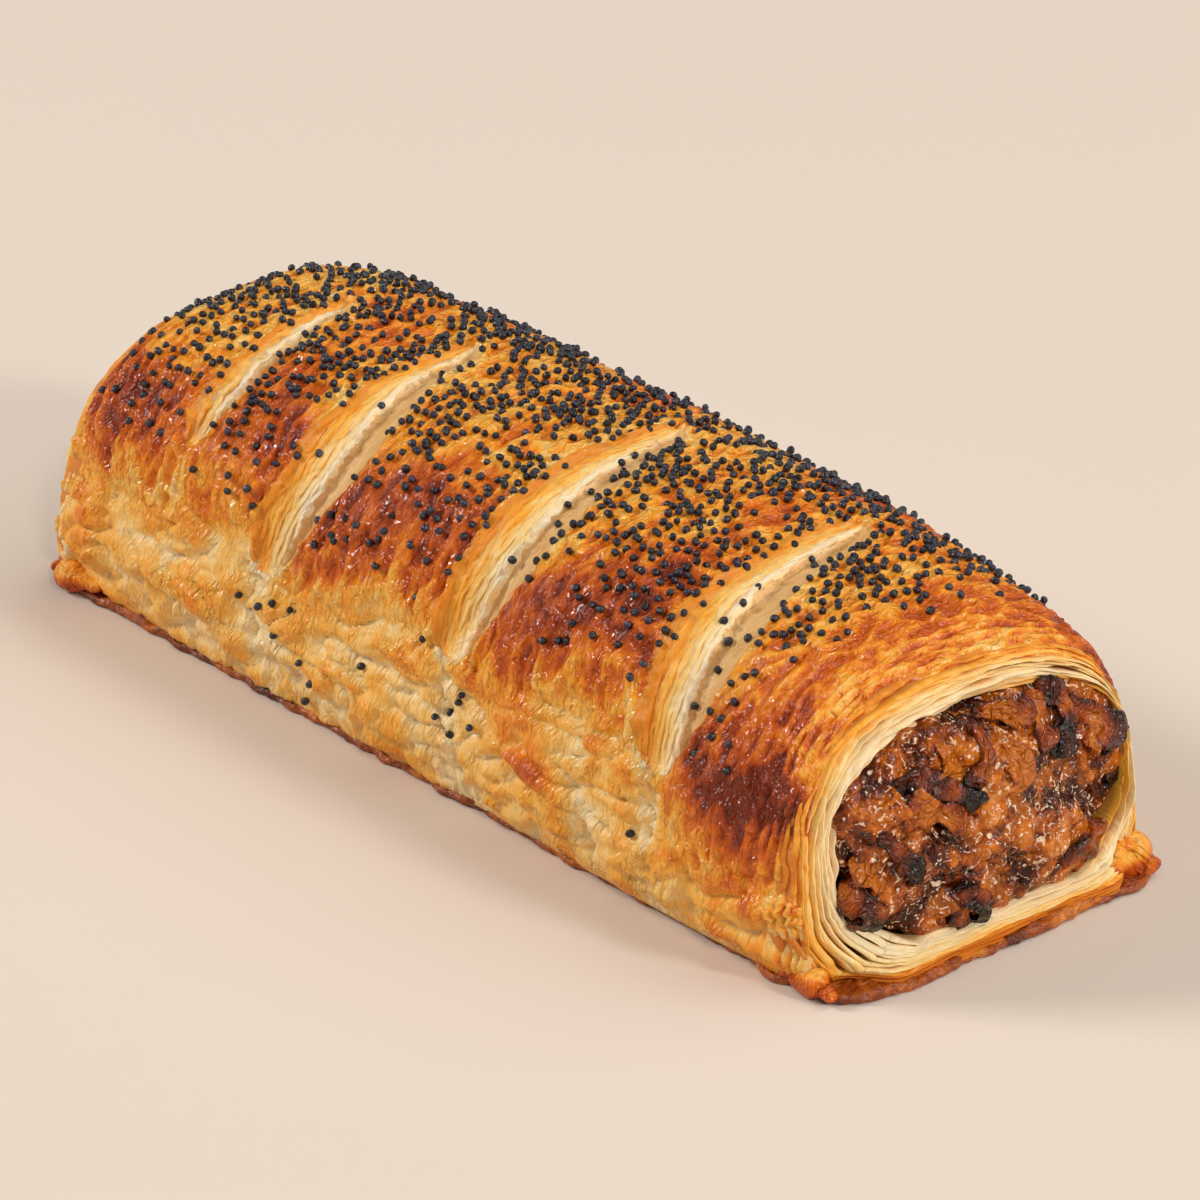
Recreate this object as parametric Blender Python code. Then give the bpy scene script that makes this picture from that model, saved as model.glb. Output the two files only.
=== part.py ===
"""Sausage roll: a slashed puff pastry sleeve, baked round a log of sausage meat.

Metres, +Z up. The roll lies along X with its flat base on z = 0 and its origin under its middle.
The knife slashes run from the crest down the -Y side, and the meat shows at both cut ends.
"""
import math

import bmesh
import bpy

# Driving dimensions
LENGTH = 0.160            # over the base sheet, end to end
HALF_WIDTH = 0.0292       # of the sleeve at its waist
HEIGHT = 0.0412           # crest at mid length
WAIST = 0.0095            # height of the widest place
FOOT_TUCK = 0.0026        # how far the foot of the side pulls in under the waist
ROUNDNESS = 2.75          # exponent of the arched section: 2 is an ellipse
END_NARROWING = 0.07      # share of the width lost towards the two ends
END_SHIFT = 0.0018        # how far the +X end sits over to the -Y side
SKIN_DROP = 0.0009        # the sleeve starts this far up, inside the base sheet

# The two ends are cut a little askew: x on the base line and its change with y and z, the share of
# the height lost towards the cut, and how far the meat swells out of it
ENDS = {
    1: dict(base_x=0.0754, by_y=0.064, by_z=-0.089, height_drop=0.125, meat_dome=0.0044),
    -1: dict(base_x=0.0782, by_y=0.0, by_z=-0.235, height_drop=0.070, meat_dome=0.0020),
}
LEAN_START = 0.62         # share of the half length where the sections begin to lean with the cut
RIM_STEP = 0.0011         # how far the end face stands past the crust's rim
RIM_INSET = 0.0013        # how far the rolled rim comes in at the face
RIM_ROLL = ((0.3, 0.6), (1.0, 1.0))   # shares of the inset and of the step as the rim rolls over

# The base sheet, whose edge stands out as a thin skirt
SHEET_THICKNESS = 0.0018
SHEET_HALF_WIDTH = 0.0268
SHEET_CORNER = 0.0065
SHEET_RIPPLE = 0.0005     # how far its long edges wander
RIPPLE_RATE = 620.0       # radians of ripple for each metre along the edge
RIPPLE_DRIFT = 210.0      # a slower wave that makes the ripples uneven

# The sausage meat, which fills the sleeve from end to end
MEAT_HALF_WIDTH = 0.0226
MEAT_BOTTOM = 0.0023
MEAT_TOP = 0.0308
MEAT_ROUNDNESS = 2.5
MEAT_STEP = 0.0008        # how far the log's side runs past the pastry's rim
MEAT_LUMP = 0.0005        # height of the lumps on the domed end
LUMP_RATE_Y = 470.0       # radians of lump for each metre across
LUMP_RATE_Z = 530.0       # radians of lump for each metre up
FIT_GAP = 0.0003          # between the meat and the pastry round it

# Slashes: x of the low end and of the crest end, sideways bow, half width, and the angles round the
# arch, from the -Y waist, where each begins and ends
SLASHES = (
    dict(low_x=-0.0475, crest_x=-0.0495, bow=0.0019, half_width=0.0024, start=33.0, end=95.0),
    dict(low_x=-0.0285, crest_x=-0.0275, bow=0.0051, half_width=0.0048, start=11.0, end=97.0),
    dict(low_x=0.0082, crest_x=0.0085, bow=0.0039, half_width=0.0049, start=14.0, end=103.0),
    dict(low_x=0.0478, crest_x=0.0435, bow=0.0022, half_width=0.0050, start=14.0, end=103.0),
)
SLASH_DEPTH = 0.0021
SLASH_LIP = 0.45          # share of the half width taken by the steep lip, on the -X side
SLASH_RAMP = -0.1         # where the floor starts to climb to the +X side, as a share of the half width
PUFF = 0.0011             # how far the crust swells between two slashes
PUFF_REACH = 0.0085

# Mesh density
ARCH_POINTS = 27
FOOT_POINTS = 3
FINE_PITCH = 0.0014       # between stations across a slash
COARSE_PITCH = 0.0034     # between the other stations
SLASH_SPAN = 0.0075       # stations are fine within this distance of a slash's middle
MEAT_POINTS = 26
MEAT_STATIONS = 7
LOG_REACH = 0.8           # share of the half length along which the log's sections stay upright
DOME_RINGS = 5
CORNER_STEPS = 5
SHEET_EDGE_PITCH = 0.005


def clear_scene():
    """Remove every object that the start-up file holds."""
    for thing in list(bpy.data.objects):
        bpy.data.objects.remove(thing, do_unlink=True)


def make_material(name, color, roughness):
    """A plain Principled material."""
    material = bpy.data.materials.new(name)
    material.use_nodes = True
    shader = material.node_tree.nodes["Principled BSDF"]
    shader.inputs["Base Color"].default_value = (*color, 1.0)
    shader.inputs["Roughness"].default_value = roughness
    shader.inputs["Metallic"].default_value = 0.0
    return material


def smoothstep(low, high, value):
    """0 below low, 1 above high, and a smooth rise between."""
    share = min(max((value - low) / (high - low), 0.0), 1.0)
    return share * share * (3.0 - 2.0 * share)


def power(value, exponent):
    """A signed power, for superellipses."""
    return math.copysign(abs(value) ** exponent, value)


def slash_middle(slash, share):
    """X of a slash's middle line, at a share of its way from the low end to the crest end."""
    straight = slash["low_x"] + (slash["crest_x"] - slash["low_x"]) * share
    return straight + slash["bow"] * math.sin(math.pi * share)


def surface_drop(x, angle):
    """How far the crust lies under its plain arch, from the slashes and the puffs between them."""
    drop = 0.0
    for slash in SLASHES:
        share = (angle - slash["start"]) / (slash["end"] - slash["start"])
        if not 0.0 < share < 1.0:
            continue
        opening = math.sin(math.pi * share) ** 0.5
        across = x - slash_middle(slash, share)
        drop += PUFF * opening * math.exp(-((across / PUFF_REACH) ** 2))
        place = across / (slash["half_width"] * opening)
        lip = smoothstep(-1.0, SLASH_LIP - 1.0, place)
        ramp = 1.0 - smoothstep(SLASH_RAMP, 1.0, place)
        drop += SLASH_DEPTH * opening * lip * ramp
    return drop


def cut_x(side, y, z):
    """X of the cut plane at one end."""
    end = ENDS[side]
    return side * (end["base_x"] + end["by_y"] * y + end["by_z"] * z)


def leaning_x(share, step, y, z):
    """X of a section's point: upright at mid length, and leaning with the cut plane at the ends."""
    side = 1 if share > 0 else -1
    base_x = ENDS[side]["base_x"]
    lean = smoothstep(LEAN_START, 1.0, abs(share))
    return share * base_x + lean * (cut_x(side, y, z) - side * base_x) + side * step


def crust_ring(share, inset, step):
    """The sleeve's section at a share of its half length, starting under the +Y side."""
    reach = share ** 4
    half_width = HALF_WIDTH * (1.0 - END_NARROWING * reach) - inset
    crest = HEIGHT * (1.0 - ENDS[1 if share > 0 else -1]["height_drop"] * reach) - inset
    shift = END_SHIFT * smoothstep(0.0, 1.0, share)
    foot = half_width - FOOT_TUCK
    ring = []
    for index in range(FOOT_POINTS):
        rise = index / FOOT_POINTS
        y = foot + FOOT_TUCK * math.sin(0.5 * math.pi * rise)
        ring.append((y, SKIN_DROP + (WAIST - SKIN_DROP) * rise))
    for index in range(ARCH_POINTS):
        turn = math.pi * index / (ARCH_POINTS - 1)
        y = half_width * power(math.cos(turn), 2.0 / ROUNDNESS)
        z = (crest - WAIST) * power(math.sin(turn), 2.0 / ROUNDNESS)
        x = leaning_x(share, step, y, WAIST + z)
        scale = 1.0 - surface_drop(x, 180.0 - math.degrees(turn)) / math.hypot(y, z)
        ring.append((y * scale, WAIST + z * scale))
    for index in range(FOOT_POINTS - 1, -1, -1):
        y, z = ring[index]
        ring.append((-y, z))
    return [(leaning_x(share, step, y, z), y - shift, z) for y, z in ring]


def crust_stations():
    """Every section's share of the half length, close together across the slashes."""
    middles = [slash_middle(slash, 0.5) for slash in SLASHES]
    stations = [-1.0]
    while stations[-1] < 1.0:
        half_length = ENDS[1 if stations[-1] > 0 else -1]["base_x"]
        x = stations[-1] * half_length
        near = any(abs(x + FINE_PITCH - middle) < SLASH_SPAN for middle in middles)
        stations.append(stations[-1] + (FINE_PITCH if near else COARSE_PITCH) / half_length)
    stations[-1] = 1.0
    return stations


def loft(rings, name, material):
    """One closed body through rings of equal count, capped by a face at each end."""
    mesh = bmesh.new()
    rows = [[mesh.verts.new(point) for point in ring] for ring in rings]
    count = len(rows[0])
    for row, following in zip(rows, rows[1:]):
        for index in range(count):
            after = (index + 1) % count
            mesh.faces.new((row[index], row[after], following[after], following[index]))
    mesh.faces.new(rows[0][::-1])
    mesh.faces.new(rows[-1])
    bmesh.ops.recalc_face_normals(mesh, faces=mesh.faces)
    data = bpy.data.meshes.new(name)
    mesh.to_mesh(data)
    mesh.free()
    data.materials.append(material)
    thing = bpy.data.objects.new(name, data)
    bpy.context.collection.objects.link(thing)
    return thing


def shade_round(thing, crease_degrees):
    """Smooth shading, broken at the creases."""
    thing.data.shade_smooth()
    thing.data.set_sharp_from_angle(angle=math.radians(crease_degrees))


def make_cutter(thing):
    """Keep a helper shape out of the model."""
    thing.hide_render = True
    thing.display_type = "WIRE"


def add_boolean(thing, tool, operation):
    """Combine a body with a helper shape, exactly."""
    modifier = thing.modifiers.new(operation.title(), "BOOLEAN")
    modifier.operation = operation
    modifier.solver = "EXACT"
    modifier.object = tool


def ripple(x):
    """How far the base sheet's long edge stands out at x."""
    return SHEET_RIPPLE * math.sin(RIPPLE_RATE * x + 2.0 * math.sin(RIPPLE_DRIFT * x))


def base_sheet_outline():
    """The base sheet's edge: a rectangle with round corners and rippled long sides."""
    centre_x = LENGTH / 2 - SHEET_CORNER
    centre_y = SHEET_HALF_WIDTH - SHEET_CORNER
    outline = []
    for sign_x, sign_y, start in ((1, 1, 0), (-1, 1, 90), (-1, -1, 180), (1, -1, 270)):
        for index in range(CORNER_STEPS + 1):
            turn = math.radians(start + 90.0 * index / CORNER_STEPS)
            x = sign_x * centre_x + SHEET_CORNER * math.cos(turn)
            outline.append((x, sign_y * centre_y + SHEET_CORNER * math.sin(turn)))
        if sign_x == sign_y:
            pieces = round(2.0 * centre_x / SHEET_EDGE_PITCH)
            for piece in range(1, pieces):
                x = sign_x * centre_x * (1.0 - 2.0 * piece / pieces)
                outline.append((x, sign_y * (SHEET_HALF_WIDTH + ripple(x))))
    return outline


def make_base_sheet(material):
    """The thin base sheet, as a helper that is joined to the sleeve."""
    outline = base_sheet_outline()
    mesh = bmesh.new()
    low = mesh.faces.new([mesh.verts.new((x, y, 0.0)) for x, y in outline])
    lifted = bmesh.ops.extrude_face_region(mesh, geom=[low])
    for item in lifted["geom"]:
        if isinstance(item, bmesh.types.BMVert):
            item.co.z = SHEET_THICKNESS
    bmesh.ops.recalc_face_normals(mesh, faces=mesh.faces)
    data = bpy.data.meshes.new("base_sheet")
    mesh.to_mesh(data)
    mesh.free()
    data.materials.append(material)
    thing = bpy.data.objects.new("base_sheet", data)
    bpy.context.collection.objects.link(thing)
    make_cutter(thing)
    return thing


def meat_section(scale, gap):
    """The meat's outline as (y, z) pairs, scaled about its middle and grown by a gap."""
    middle = (MEAT_TOP + MEAT_BOTTOM) / 2
    half_height = (MEAT_TOP - MEAT_BOTTOM) / 2
    outline = []
    for index in range(MEAT_POINTS):
        turn = 2.0 * math.pi * index / MEAT_POINTS
        y = (MEAT_HALF_WIDTH * scale + gap) * power(math.cos(turn), 2.0 / MEAT_ROUNDNESS)
        z = (half_height * scale + gap) * power(math.sin(turn), 2.0 / MEAT_ROUNDNESS)
        outline.append((y, middle + z))
    return outline


def meat_end(side):
    """Rings that close one end of the meat in a lumpy dome, from its edge at the cut inwards."""
    rings = []
    for index in range(DOME_RINGS + 1):
        turn = 0.5 * math.pi * index / (DOME_RINGS + 0.6)
        ring = []
        for y, z in meat_section(math.cos(turn), 0.0):
            lump = math.sin(LUMP_RATE_Y * y) * math.cos(LUMP_RATE_Z * z + 0.5 * LUMP_RATE_Y * y)
            swell = (ENDS[side]["meat_dome"] + MEAT_LUMP * lump) * math.sin(turn)
            ring.append((cut_x(side, y, z) + side * (MEAT_STEP + swell), y, z))
        rings.append(ring)
    return rings


def make_pastry():
    """The sleeve with its slashes, joined to its base sheet and open from end to end."""
    material = make_material("baked_pastry", (0.62, 0.33, 0.10), 0.42)
    rim = [(inset * RIM_INSET, step * RIM_STEP) for inset, step in RIM_ROLL]
    rings = [crust_ring(-1.0, inset, step) for inset, step in reversed(rim)]
    rings += [crust_ring(share, 0.0, 0.0) for share in crust_stations()]
    rings += [crust_ring(1.0, inset, step) for inset, step in rim]
    pastry = loft(rings, "pastry", material)
    add_boolean(pastry, make_base_sheet(material), "UNION")
    section = meat_section(1.0, FIT_GAP)
    tunnel = loft([[(x, y, z) for y, z in section] for x in (-LENGTH, LENGTH)], "tunnel", material)
    make_cutter(tunnel)
    add_boolean(pastry, tunnel, "DIFFERENCE")
    shade_round(pastry, 50.0)


def make_filling():
    """The log of sausage meat, domed at both ends."""
    material = make_material("sausage_meat", (0.30, 0.12, 0.05), 0.35)
    reach = LOG_REACH * LENGTH / 2
    log = []
    for index in range(MEAT_STATIONS):
        x = -reach + 2.0 * reach * index / (MEAT_STATIONS - 1)
        log.append([(x, y, z) for y, z in meat_section(1.0, 0.0)])
    filling = loft(meat_end(-1)[::-1] + log + meat_end(1), "filling", material)
    shade_round(filling, 60.0)


clear_scene()
make_pastry()
make_filling()
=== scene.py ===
"""Sausage roll: the looks of a baked roll of slashed puff pastry, seeded with poppy seeds."""
import itertools
import math

import bpy
import numpy as np
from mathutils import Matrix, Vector


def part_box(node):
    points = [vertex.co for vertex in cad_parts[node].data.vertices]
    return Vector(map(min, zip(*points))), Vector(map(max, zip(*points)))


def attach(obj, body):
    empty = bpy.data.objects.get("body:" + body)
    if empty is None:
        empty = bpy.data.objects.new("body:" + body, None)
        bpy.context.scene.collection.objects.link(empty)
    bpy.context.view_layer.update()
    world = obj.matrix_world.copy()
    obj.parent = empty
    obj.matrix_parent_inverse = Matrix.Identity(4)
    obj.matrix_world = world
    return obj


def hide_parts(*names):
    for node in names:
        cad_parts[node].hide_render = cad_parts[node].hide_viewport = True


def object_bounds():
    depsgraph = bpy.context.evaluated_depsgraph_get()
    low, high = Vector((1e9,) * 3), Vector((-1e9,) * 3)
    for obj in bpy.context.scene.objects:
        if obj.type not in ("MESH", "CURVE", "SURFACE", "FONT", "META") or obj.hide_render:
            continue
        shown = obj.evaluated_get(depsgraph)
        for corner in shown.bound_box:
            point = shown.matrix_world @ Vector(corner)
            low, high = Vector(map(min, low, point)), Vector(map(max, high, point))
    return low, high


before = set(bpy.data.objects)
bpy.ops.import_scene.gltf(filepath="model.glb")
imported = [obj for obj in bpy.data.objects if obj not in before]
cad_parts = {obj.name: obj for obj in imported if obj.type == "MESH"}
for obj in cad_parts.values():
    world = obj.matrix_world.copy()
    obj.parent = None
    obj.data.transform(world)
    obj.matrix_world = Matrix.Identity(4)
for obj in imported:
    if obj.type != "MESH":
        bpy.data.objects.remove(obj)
cad_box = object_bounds()

# ------------------------------------------------------------------ floor, light and camera
# The roll lies on a plain warm white floor under soft studio light: a broad key from behind on the
# right, and three small lamps, whose glints make the glaze and the cut end look wet.
ROLL_MIDDLE = Vector((0.0039, 0.0, 0.0182))
CAMERA_TURN = 49.2                    # degrees, from looking along +Y, towards +X
CAMERA_RISE = 26.0
CAMERA_DISTANCE = 0.9016
CAMERA_LENS = 213.66                  # mm, on a 36 mm sensor
FLOOR_SIZE = 6.0
FLOOR_COLOR = (0.752, 0.642, 0.546, 1.0)
LAMP_DISTANCE = 2.3
LAMP_COLOR = (1.0, 0.98, 0.95)
SOFTBOXES = (    # name, turn and rise in degrees, side length, power
    ("key_softbox", 150.0, 54.0, 2.1, 25.0), ("left_softbox", -50.0, 33.0, 0.58, 30.0),
    ("front_softbox", 62.0, 38.0, 0.24, 9.0), ("right_softbox", 102.0, 27.0, 0.36, 20.0),
)
SKY_COLOR = (1.0, 0.99, 0.975, 1.0)
SKY_STRENGTH = 0.21

bpy.ops.object.select_all(action="DESELECT")
bpy.ops.mesh.primitive_plane_add(size=FLOOR_SIZE, location=(0.0, 0.0, 0.0))
floor = bpy.context.object
floor.name = "floor"
floor_material = bpy.data.materials.new("floor_paper")
floor_material.use_nodes = True
floor_shader = floor_material.node_tree.nodes["Principled BSDF"]
floor_shader.inputs["Base Color"].default_value = FLOOR_COLOR
floor_shader.inputs["Roughness"].default_value = 1.0
floor_shader.inputs["Specular IOR Level"].default_value = 0.0
floor.data.materials.append(floor_material)


def aim(turn, rise):
    """The way from the roll to a lamp or camera, at a turn from the -Y side towards +X and a rise."""
    turn, rise = math.radians(turn), math.radians(rise)
    return Vector((math.sin(turn) * math.cos(rise), -math.cos(turn) * math.cos(rise), math.sin(rise)))


for name, turn, rise, size, power in SOFTBOXES:
    way = aim(turn, rise)
    bpy.ops.object.light_add(type="AREA", location=ROLL_MIDDLE + way * LAMP_DISTANCE)
    lamp = bpy.context.object
    lamp.name = name
    lamp.data.size = size
    lamp.data.energy = power
    lamp.data.color = LAMP_COLOR
    lamp.rotation_euler = way.to_track_quat("Z", "Y").to_euler()

world = bpy.data.worlds.new("studio")
bpy.context.scene.world = world
world.use_nodes = True
world.node_tree.nodes["Background"].inputs["Color"].default_value = SKY_COLOR
world.node_tree.nodes["Background"].inputs["Strength"].default_value = SKY_STRENGTH

camera_way = aim(CAMERA_TURN, CAMERA_RISE)
bpy.ops.object.camera_add(location=ROLL_MIDDLE + camera_way * CAMERA_DISTANCE)
camera = bpy.context.object
camera.rotation_euler = camera_way.to_track_quat("Z", "Y").to_euler()
camera.data.lens = CAMERA_LENS
camera.data.sensor_width = 36.0
camera.data.clip_start = 0.01
bpy.context.scene.camera = camera
bpy.context.scene.view_settings.view_transform = "Standard"

# ------------------------------------------------------------------ crust
# The sleeve of puff pastry, wrapped once round the meat. The oven turned its egg-washed top amber
# brown and wrinkled it, its sides stayed pale and flaky, and its four knife slashes opened as it rose.
# A fine grid is wrapped round the roll and pushed out along its normals.
LENGTH = cad_box[1][0] - cad_box[0][0]
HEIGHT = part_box("pastry")[1].z
HALF_WIDTH = 0.0292
WAIST = 0.0095            # height of the widest place
FOOT_TUCK = 0.0026
FOOT_HEIGHT = 0.0009      # the sleeve's underside, inside the base sheet
FOOT_ANGLE = 30.0         # the foot's stretch under the waist, on the scale of the arch's degrees
ROUNDNESS = 2.75
END_NARROWING = 0.07
END_SHIFT = 0.0018
LEAN_START = 0.62
ENDS = {1: dict(base_x=0.0754, by_y=0.064, by_z=-0.089, height_drop=0.125),
        -1: dict(base_x=0.0782, by_y=0.0, by_z=-0.235, height_drop=0.070)}
BEVEL_LENGTH = 0.0050     # the crust rounds over within this distance of the cut
BEVEL_DEPTH = 0.0025
FACE_RECESS = 0.0012      # the end face between the leaves lies this far inside the cut
SLASHES = (
    dict(low_x=-0.0475, crest_x=-0.0495, bow=0.0019, half_width=0.0024, start=33.0, end=95.0),
    dict(low_x=-0.0285, crest_x=-0.0275, bow=0.0051, half_width=0.0048, start=11.0, end=97.0),
    dict(low_x=0.0082, crest_x=0.0085, bow=0.0039, half_width=0.0049, start=14.0, end=103.0),
    dict(low_x=0.0478, crest_x=0.0435, bow=0.0022, half_width=0.0050, start=14.0, end=103.0),
)
LIP_FALL = 0.0010         # the leafed lip slopes down this far towards the slash's floor
FLOOR_STEP = 0.0008       # and ends in a step down to it
SKIN_STEP = 0.0004        # step up to the skin at the slash's +X edge
PUFF = 0.0011
PUFF_REACH = 0.0085
MEAT_HALF_WIDTH = 0.0226
MEAT_BOTTOM = 0.0023
MEAT_TOP = 0.0308
MEAT_MIDDLE = (MEAT_TOP + MEAT_BOTTOM) / 2
MEAT_ROUNDNESS = 2.5
FIT_GAP = 0.0003
FINE_PITCH = 0.00030      # between rows across a slash and at the ends
COARSE_PITCH = 0.00056
NEAR_PITCH = 0.00043      # between columns on the near side and the crest
NEAR_ANGLE = 112.0
FAR_COLUMNS = 48
FOOT_COLUMNS = 15
UNDER_COLUMNS = 8
SWELL_HEIGHT = 0.00042    # broad unevenness all over
FOLD_HEIGHT = 0.00060     # wrinkles of the glazed top
CRINKLE_HEIGHT = 0.00030
BLISTER_HEIGHT = 0.00030
PLEAT_HEIGHT = 0.00085    # upright folds along the glaze's lower edge
LUMP_HEIGHT = 0.00080     # the pale sides
CREASE_DEPTH = 0.00110
CLUMP_HEIGHT = 0.00018
LEDGE_HEIGHT = 0.00055
CRUMB_HEIGHT = 0.00030
DRIP_HEIGHT = 0.00090
SEAM_DEPTH = 0.00050      # the torn seam under each slash
LIP_STRAND_HEIGHT = 0.00012
STRAND_HEIGHT = 0.00060   # layers that show beside an end cut
GLAZE_LEVEL = 0.0236      # height of the browned glaze's lower edge
GLAZE_DIP = 0.0100        # it sinks this far near the front end
PATCH_X = 0.0255          # a browned patch low on the pale side
PATCH_Z = 0.0130


def smoothstep(low, high, value):
    """0 at low, 1 at high, and a smooth rise between. High may be the smaller one."""
    share = np.clip((value - low) / (high - low), 0.0, 1.0)
    return share * share * (3.0 - 2.0 * share)


def shuffled(cell, shuffle):
    """The number, 0 to 255, that a shuffled pack gives each unit cell."""
    x, y, z = np.moveaxis(cell & 255, -1, 0)
    return shuffle[(shuffle[(shuffle[x] + y) & 255] + z) & 255]


def swirl(places, seed):
    """Smooth seeded noise, about -1 to 1, at an array of places (the last axis holds 3 numbers)."""
    dice = np.random.default_rng(seed)
    shuffle = dice.permutation(256)
    slopes = dice.normal(size=(256, 3))
    slopes /= np.linalg.norm(slopes, axis=1, keepdims=True)
    cell = np.floor(places).astype(int)
    inside = places - cell
    blend = inside ** 3 * (inside * (inside * 6.0 - 15.0) + 10.0)
    total = np.zeros(places.shape[:-1])
    for corner in itertools.product((0, 1), repeat=3):
        slope = slopes[shuffled(cell + corner, shuffle)]
        weight = np.prod(np.where(corner, blend, 1.0 - blend), axis=-1)
        total += weight * (slope * (inside - corner)).sum(-1)
    return total * 1.6


def ridges(places, seed):
    """Seeded noise with sharp crests, 0 to 1."""
    return np.clip(1.0 - 2.4 * np.abs(swirl(places, seed)), 0.0, 1.0)


def pebbles(places, seed):
    """Distance to the nearest of seeded points, one in each unit cell."""
    dice = np.random.default_rng(seed)
    shuffle = dice.permutation(256)
    spots = dice.random((256, 3))
    cell = np.floor(places).astype(int)
    nearest = np.full(places.shape[:-1], 9.0)
    for step in itertools.product((-1, 0, 1), repeat=3):
        spot = spots[shuffled(cell + step, shuffle)]
        nearest = np.minimum(nearest, np.linalg.norm(cell + step + spot - places, axis=-1))
    return nearest


def at(x, arc, pitch_x, pitch_arc, third=0.0):
    """Places on the skin's own map for a pattern whose pitch differs along and round the roll."""
    return np.stack([x / pitch_x, arc / pitch_arc, np.zeros_like(x) + third], axis=-1)


def unit(vectors):
    """Vectors at length one."""
    return vectors / np.maximum(np.linalg.norm(vectors, axis=-1, keepdims=True), 1e-12)


def signed_power(value, exponent):
    """A power that keeps the sign, for superellipses."""
    return np.sign(value) * np.abs(value) ** exponent


def end_value(share, name):
    """One of the two ends' values, for each share of the half length."""
    return np.where(share > 0, ENDS[1][name], ENDS[-1][name])


def cut_x(side, y, z):
    """X of the cut plane at an end."""
    base_x, by_y, by_z = (end_value(side, name) for name in ("base_x", "by_y", "by_z"))
    return side * (base_x + by_y * y + by_z * z)


def sleeve_section(share, angle, inset):
    """Y and z of the sleeve's outline. Degrees run from the -Y waist over the crest to the +Y waist."""
    reach = share ** 4
    half_width = HALF_WIDTH * (1.0 - END_NARROWING * reach) - inset
    crest = HEIGHT * (1.0 - end_value(share, "height_drop") * reach) - inset
    turn = np.radians(np.clip(angle, 0.0, 180.0))
    y = -half_width * signed_power(np.cos(turn), 2.0 / ROUNDNESS)
    z = WAIST + (crest - WAIST) * signed_power(np.sin(turn), 2.0 / ROUNDNESS)
    below = np.clip(np.maximum(-angle, angle - 180.0) / FOOT_ANGLE, 0.0, 1.0)
    y = y * (1.0 - FOOT_TUCK / half_width * (1.0 - np.cos(0.5 * np.pi * below)))
    z = z - (WAIST - FOOT_HEIGHT) * below
    under = np.clip((angle - 180.0 - FOOT_ANGLE) / (180.0 - 2.0 * FOOT_ANGLE), 0.0, 1.0)
    return y * (1.0 - 2.0 * under), z


def sleeve_point(share, angle, inset=0.0):
    """The plain arch, before its puffs, slashes and wrinkles. Its sections lean with the end cuts."""
    y, z = sleeve_section(share, angle, inset)
    side = np.where(share > 0, 1, -1)
    base_x = end_value(share, "base_x")
    lean = smoothstep(LEAN_START, 1.0, np.abs(share))
    x = share * base_x + lean * (cut_x(side, y, z) - side * base_x)
    return np.stack([x, y - END_SHIFT * smoothstep(0.0, 1.0, share), z], axis=-1)


def share_at(x, angle):
    """The share of the half length whose section passes through x at that angle."""
    share = x / end_value(x, "base_x")
    for _ in range(8):
        share = share + (x - sleeve_point(share, angle)[..., 0]) / end_value(share, "base_x")
    return share


def slash_path(slash, share):
    """X of a slash's middle, its half width and how far it is open, at a share of the way up it."""
    opening = np.sin(np.pi * share ** 0.8) ** 0.4
    straight = slash["low_x"] + (slash["crest_x"] - slash["low_x"]) * share
    return straight + slash["bow"] * np.sin(np.pi * share), slash["half_width"] * opening, opening


def floor_start(share):
    """The place across a slash, -1 to 1, where its leafed lip ends and its soft floor begins."""
    return 0.08 - 0.36 * share + 0.70 * np.exp(-share / 0.18)


def section_loop():
    """The angle of each column round the sleeve, and its distance round the skin."""
    fine = np.linspace(0.0, 180.0, 4001)
    y, z = sleeve_section(np.zeros_like(fine), fine, 0.0)
    walked = np.concatenate([[0.0], np.cumsum(np.hypot(np.diff(y), np.diff(z)))])
    near_walk = np.interp(NEAR_ANGLE, fine, walked)
    stops = np.concatenate([np.linspace(0.0, near_walk, round(near_walk / NEAR_PITCH), endpoint=False),
                            np.linspace(near_walk, walked[-1], FAR_COLUMNS, endpoint=False)])
    arch = np.interp(stops, walked, fine)
    foot = np.linspace(-FOOT_ANGLE, 0.0, FOOT_COLUMNS, endpoint=False)
    under = np.linspace(180.0 + FOOT_ANGLE, 360.0 - FOOT_ANGLE, UNDER_COLUMNS, endpoint=False)
    angles = np.concatenate([foot, arch, foot + 180.0 + FOOT_ANGLE, under])
    y, z = sleeve_section(np.zeros_like(angles), angles, 0.0)
    return angles, np.concatenate([[0.0], np.cumsum(np.hypot(np.diff(y), np.diff(z)))])


def sleeve_rows():
    """Every section's share of the half length, closest together at the slashes and the ends."""
    rows = [-1.0]
    while rows[-1] < 1.0:
        half_length = ENDS[1 if rows[-1] > 0 else -1]["base_x"]
        x = rows[-1] * half_length
        near = half_length - abs(x) < BEVEL_LENGTH * (2.2 if x > 0 else 1.2)
        for slash in SLASHES:
            middle = (slash["low_x"] + slash["crest_x"] + slash["bow"]) / 2
            near = near or abs(x - middle) < slash["half_width"] + abs(slash["bow"]) / 2 + 0.0008
        rows.append(rows[-1] + (FINE_PITCH if near else COARSE_PITCH) / half_length)
    rows[-1] = 1.0
    return np.array(rows)


def meat_outline(y, z, gap):
    """The meat's outline in the direction of a point, grown by a gap."""
    turn = np.arctan2(z - MEAT_MIDDLE, y)
    half_height = (MEAT_TOP - MEAT_BOTTOM) / 2 + gap
    reach = (np.abs(np.cos(turn) / (MEAT_HALF_WIDTH + gap)) ** MEAT_ROUNDNESS
             + np.abs(np.sin(turn) / half_height) ** MEAT_ROUNDNESS) ** (-1.0 / MEAT_ROUNDNESS)
    return reach * np.cos(turn), MEAT_MIDDLE + reach * np.sin(turn)


def select_only(thing):
    """Make one object the only one selected, and the active one."""
    bpy.ops.object.select_all(action="DESELECT")
    thing.select_set(True)
    bpy.context.view_layer.objects.active = thing


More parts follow.
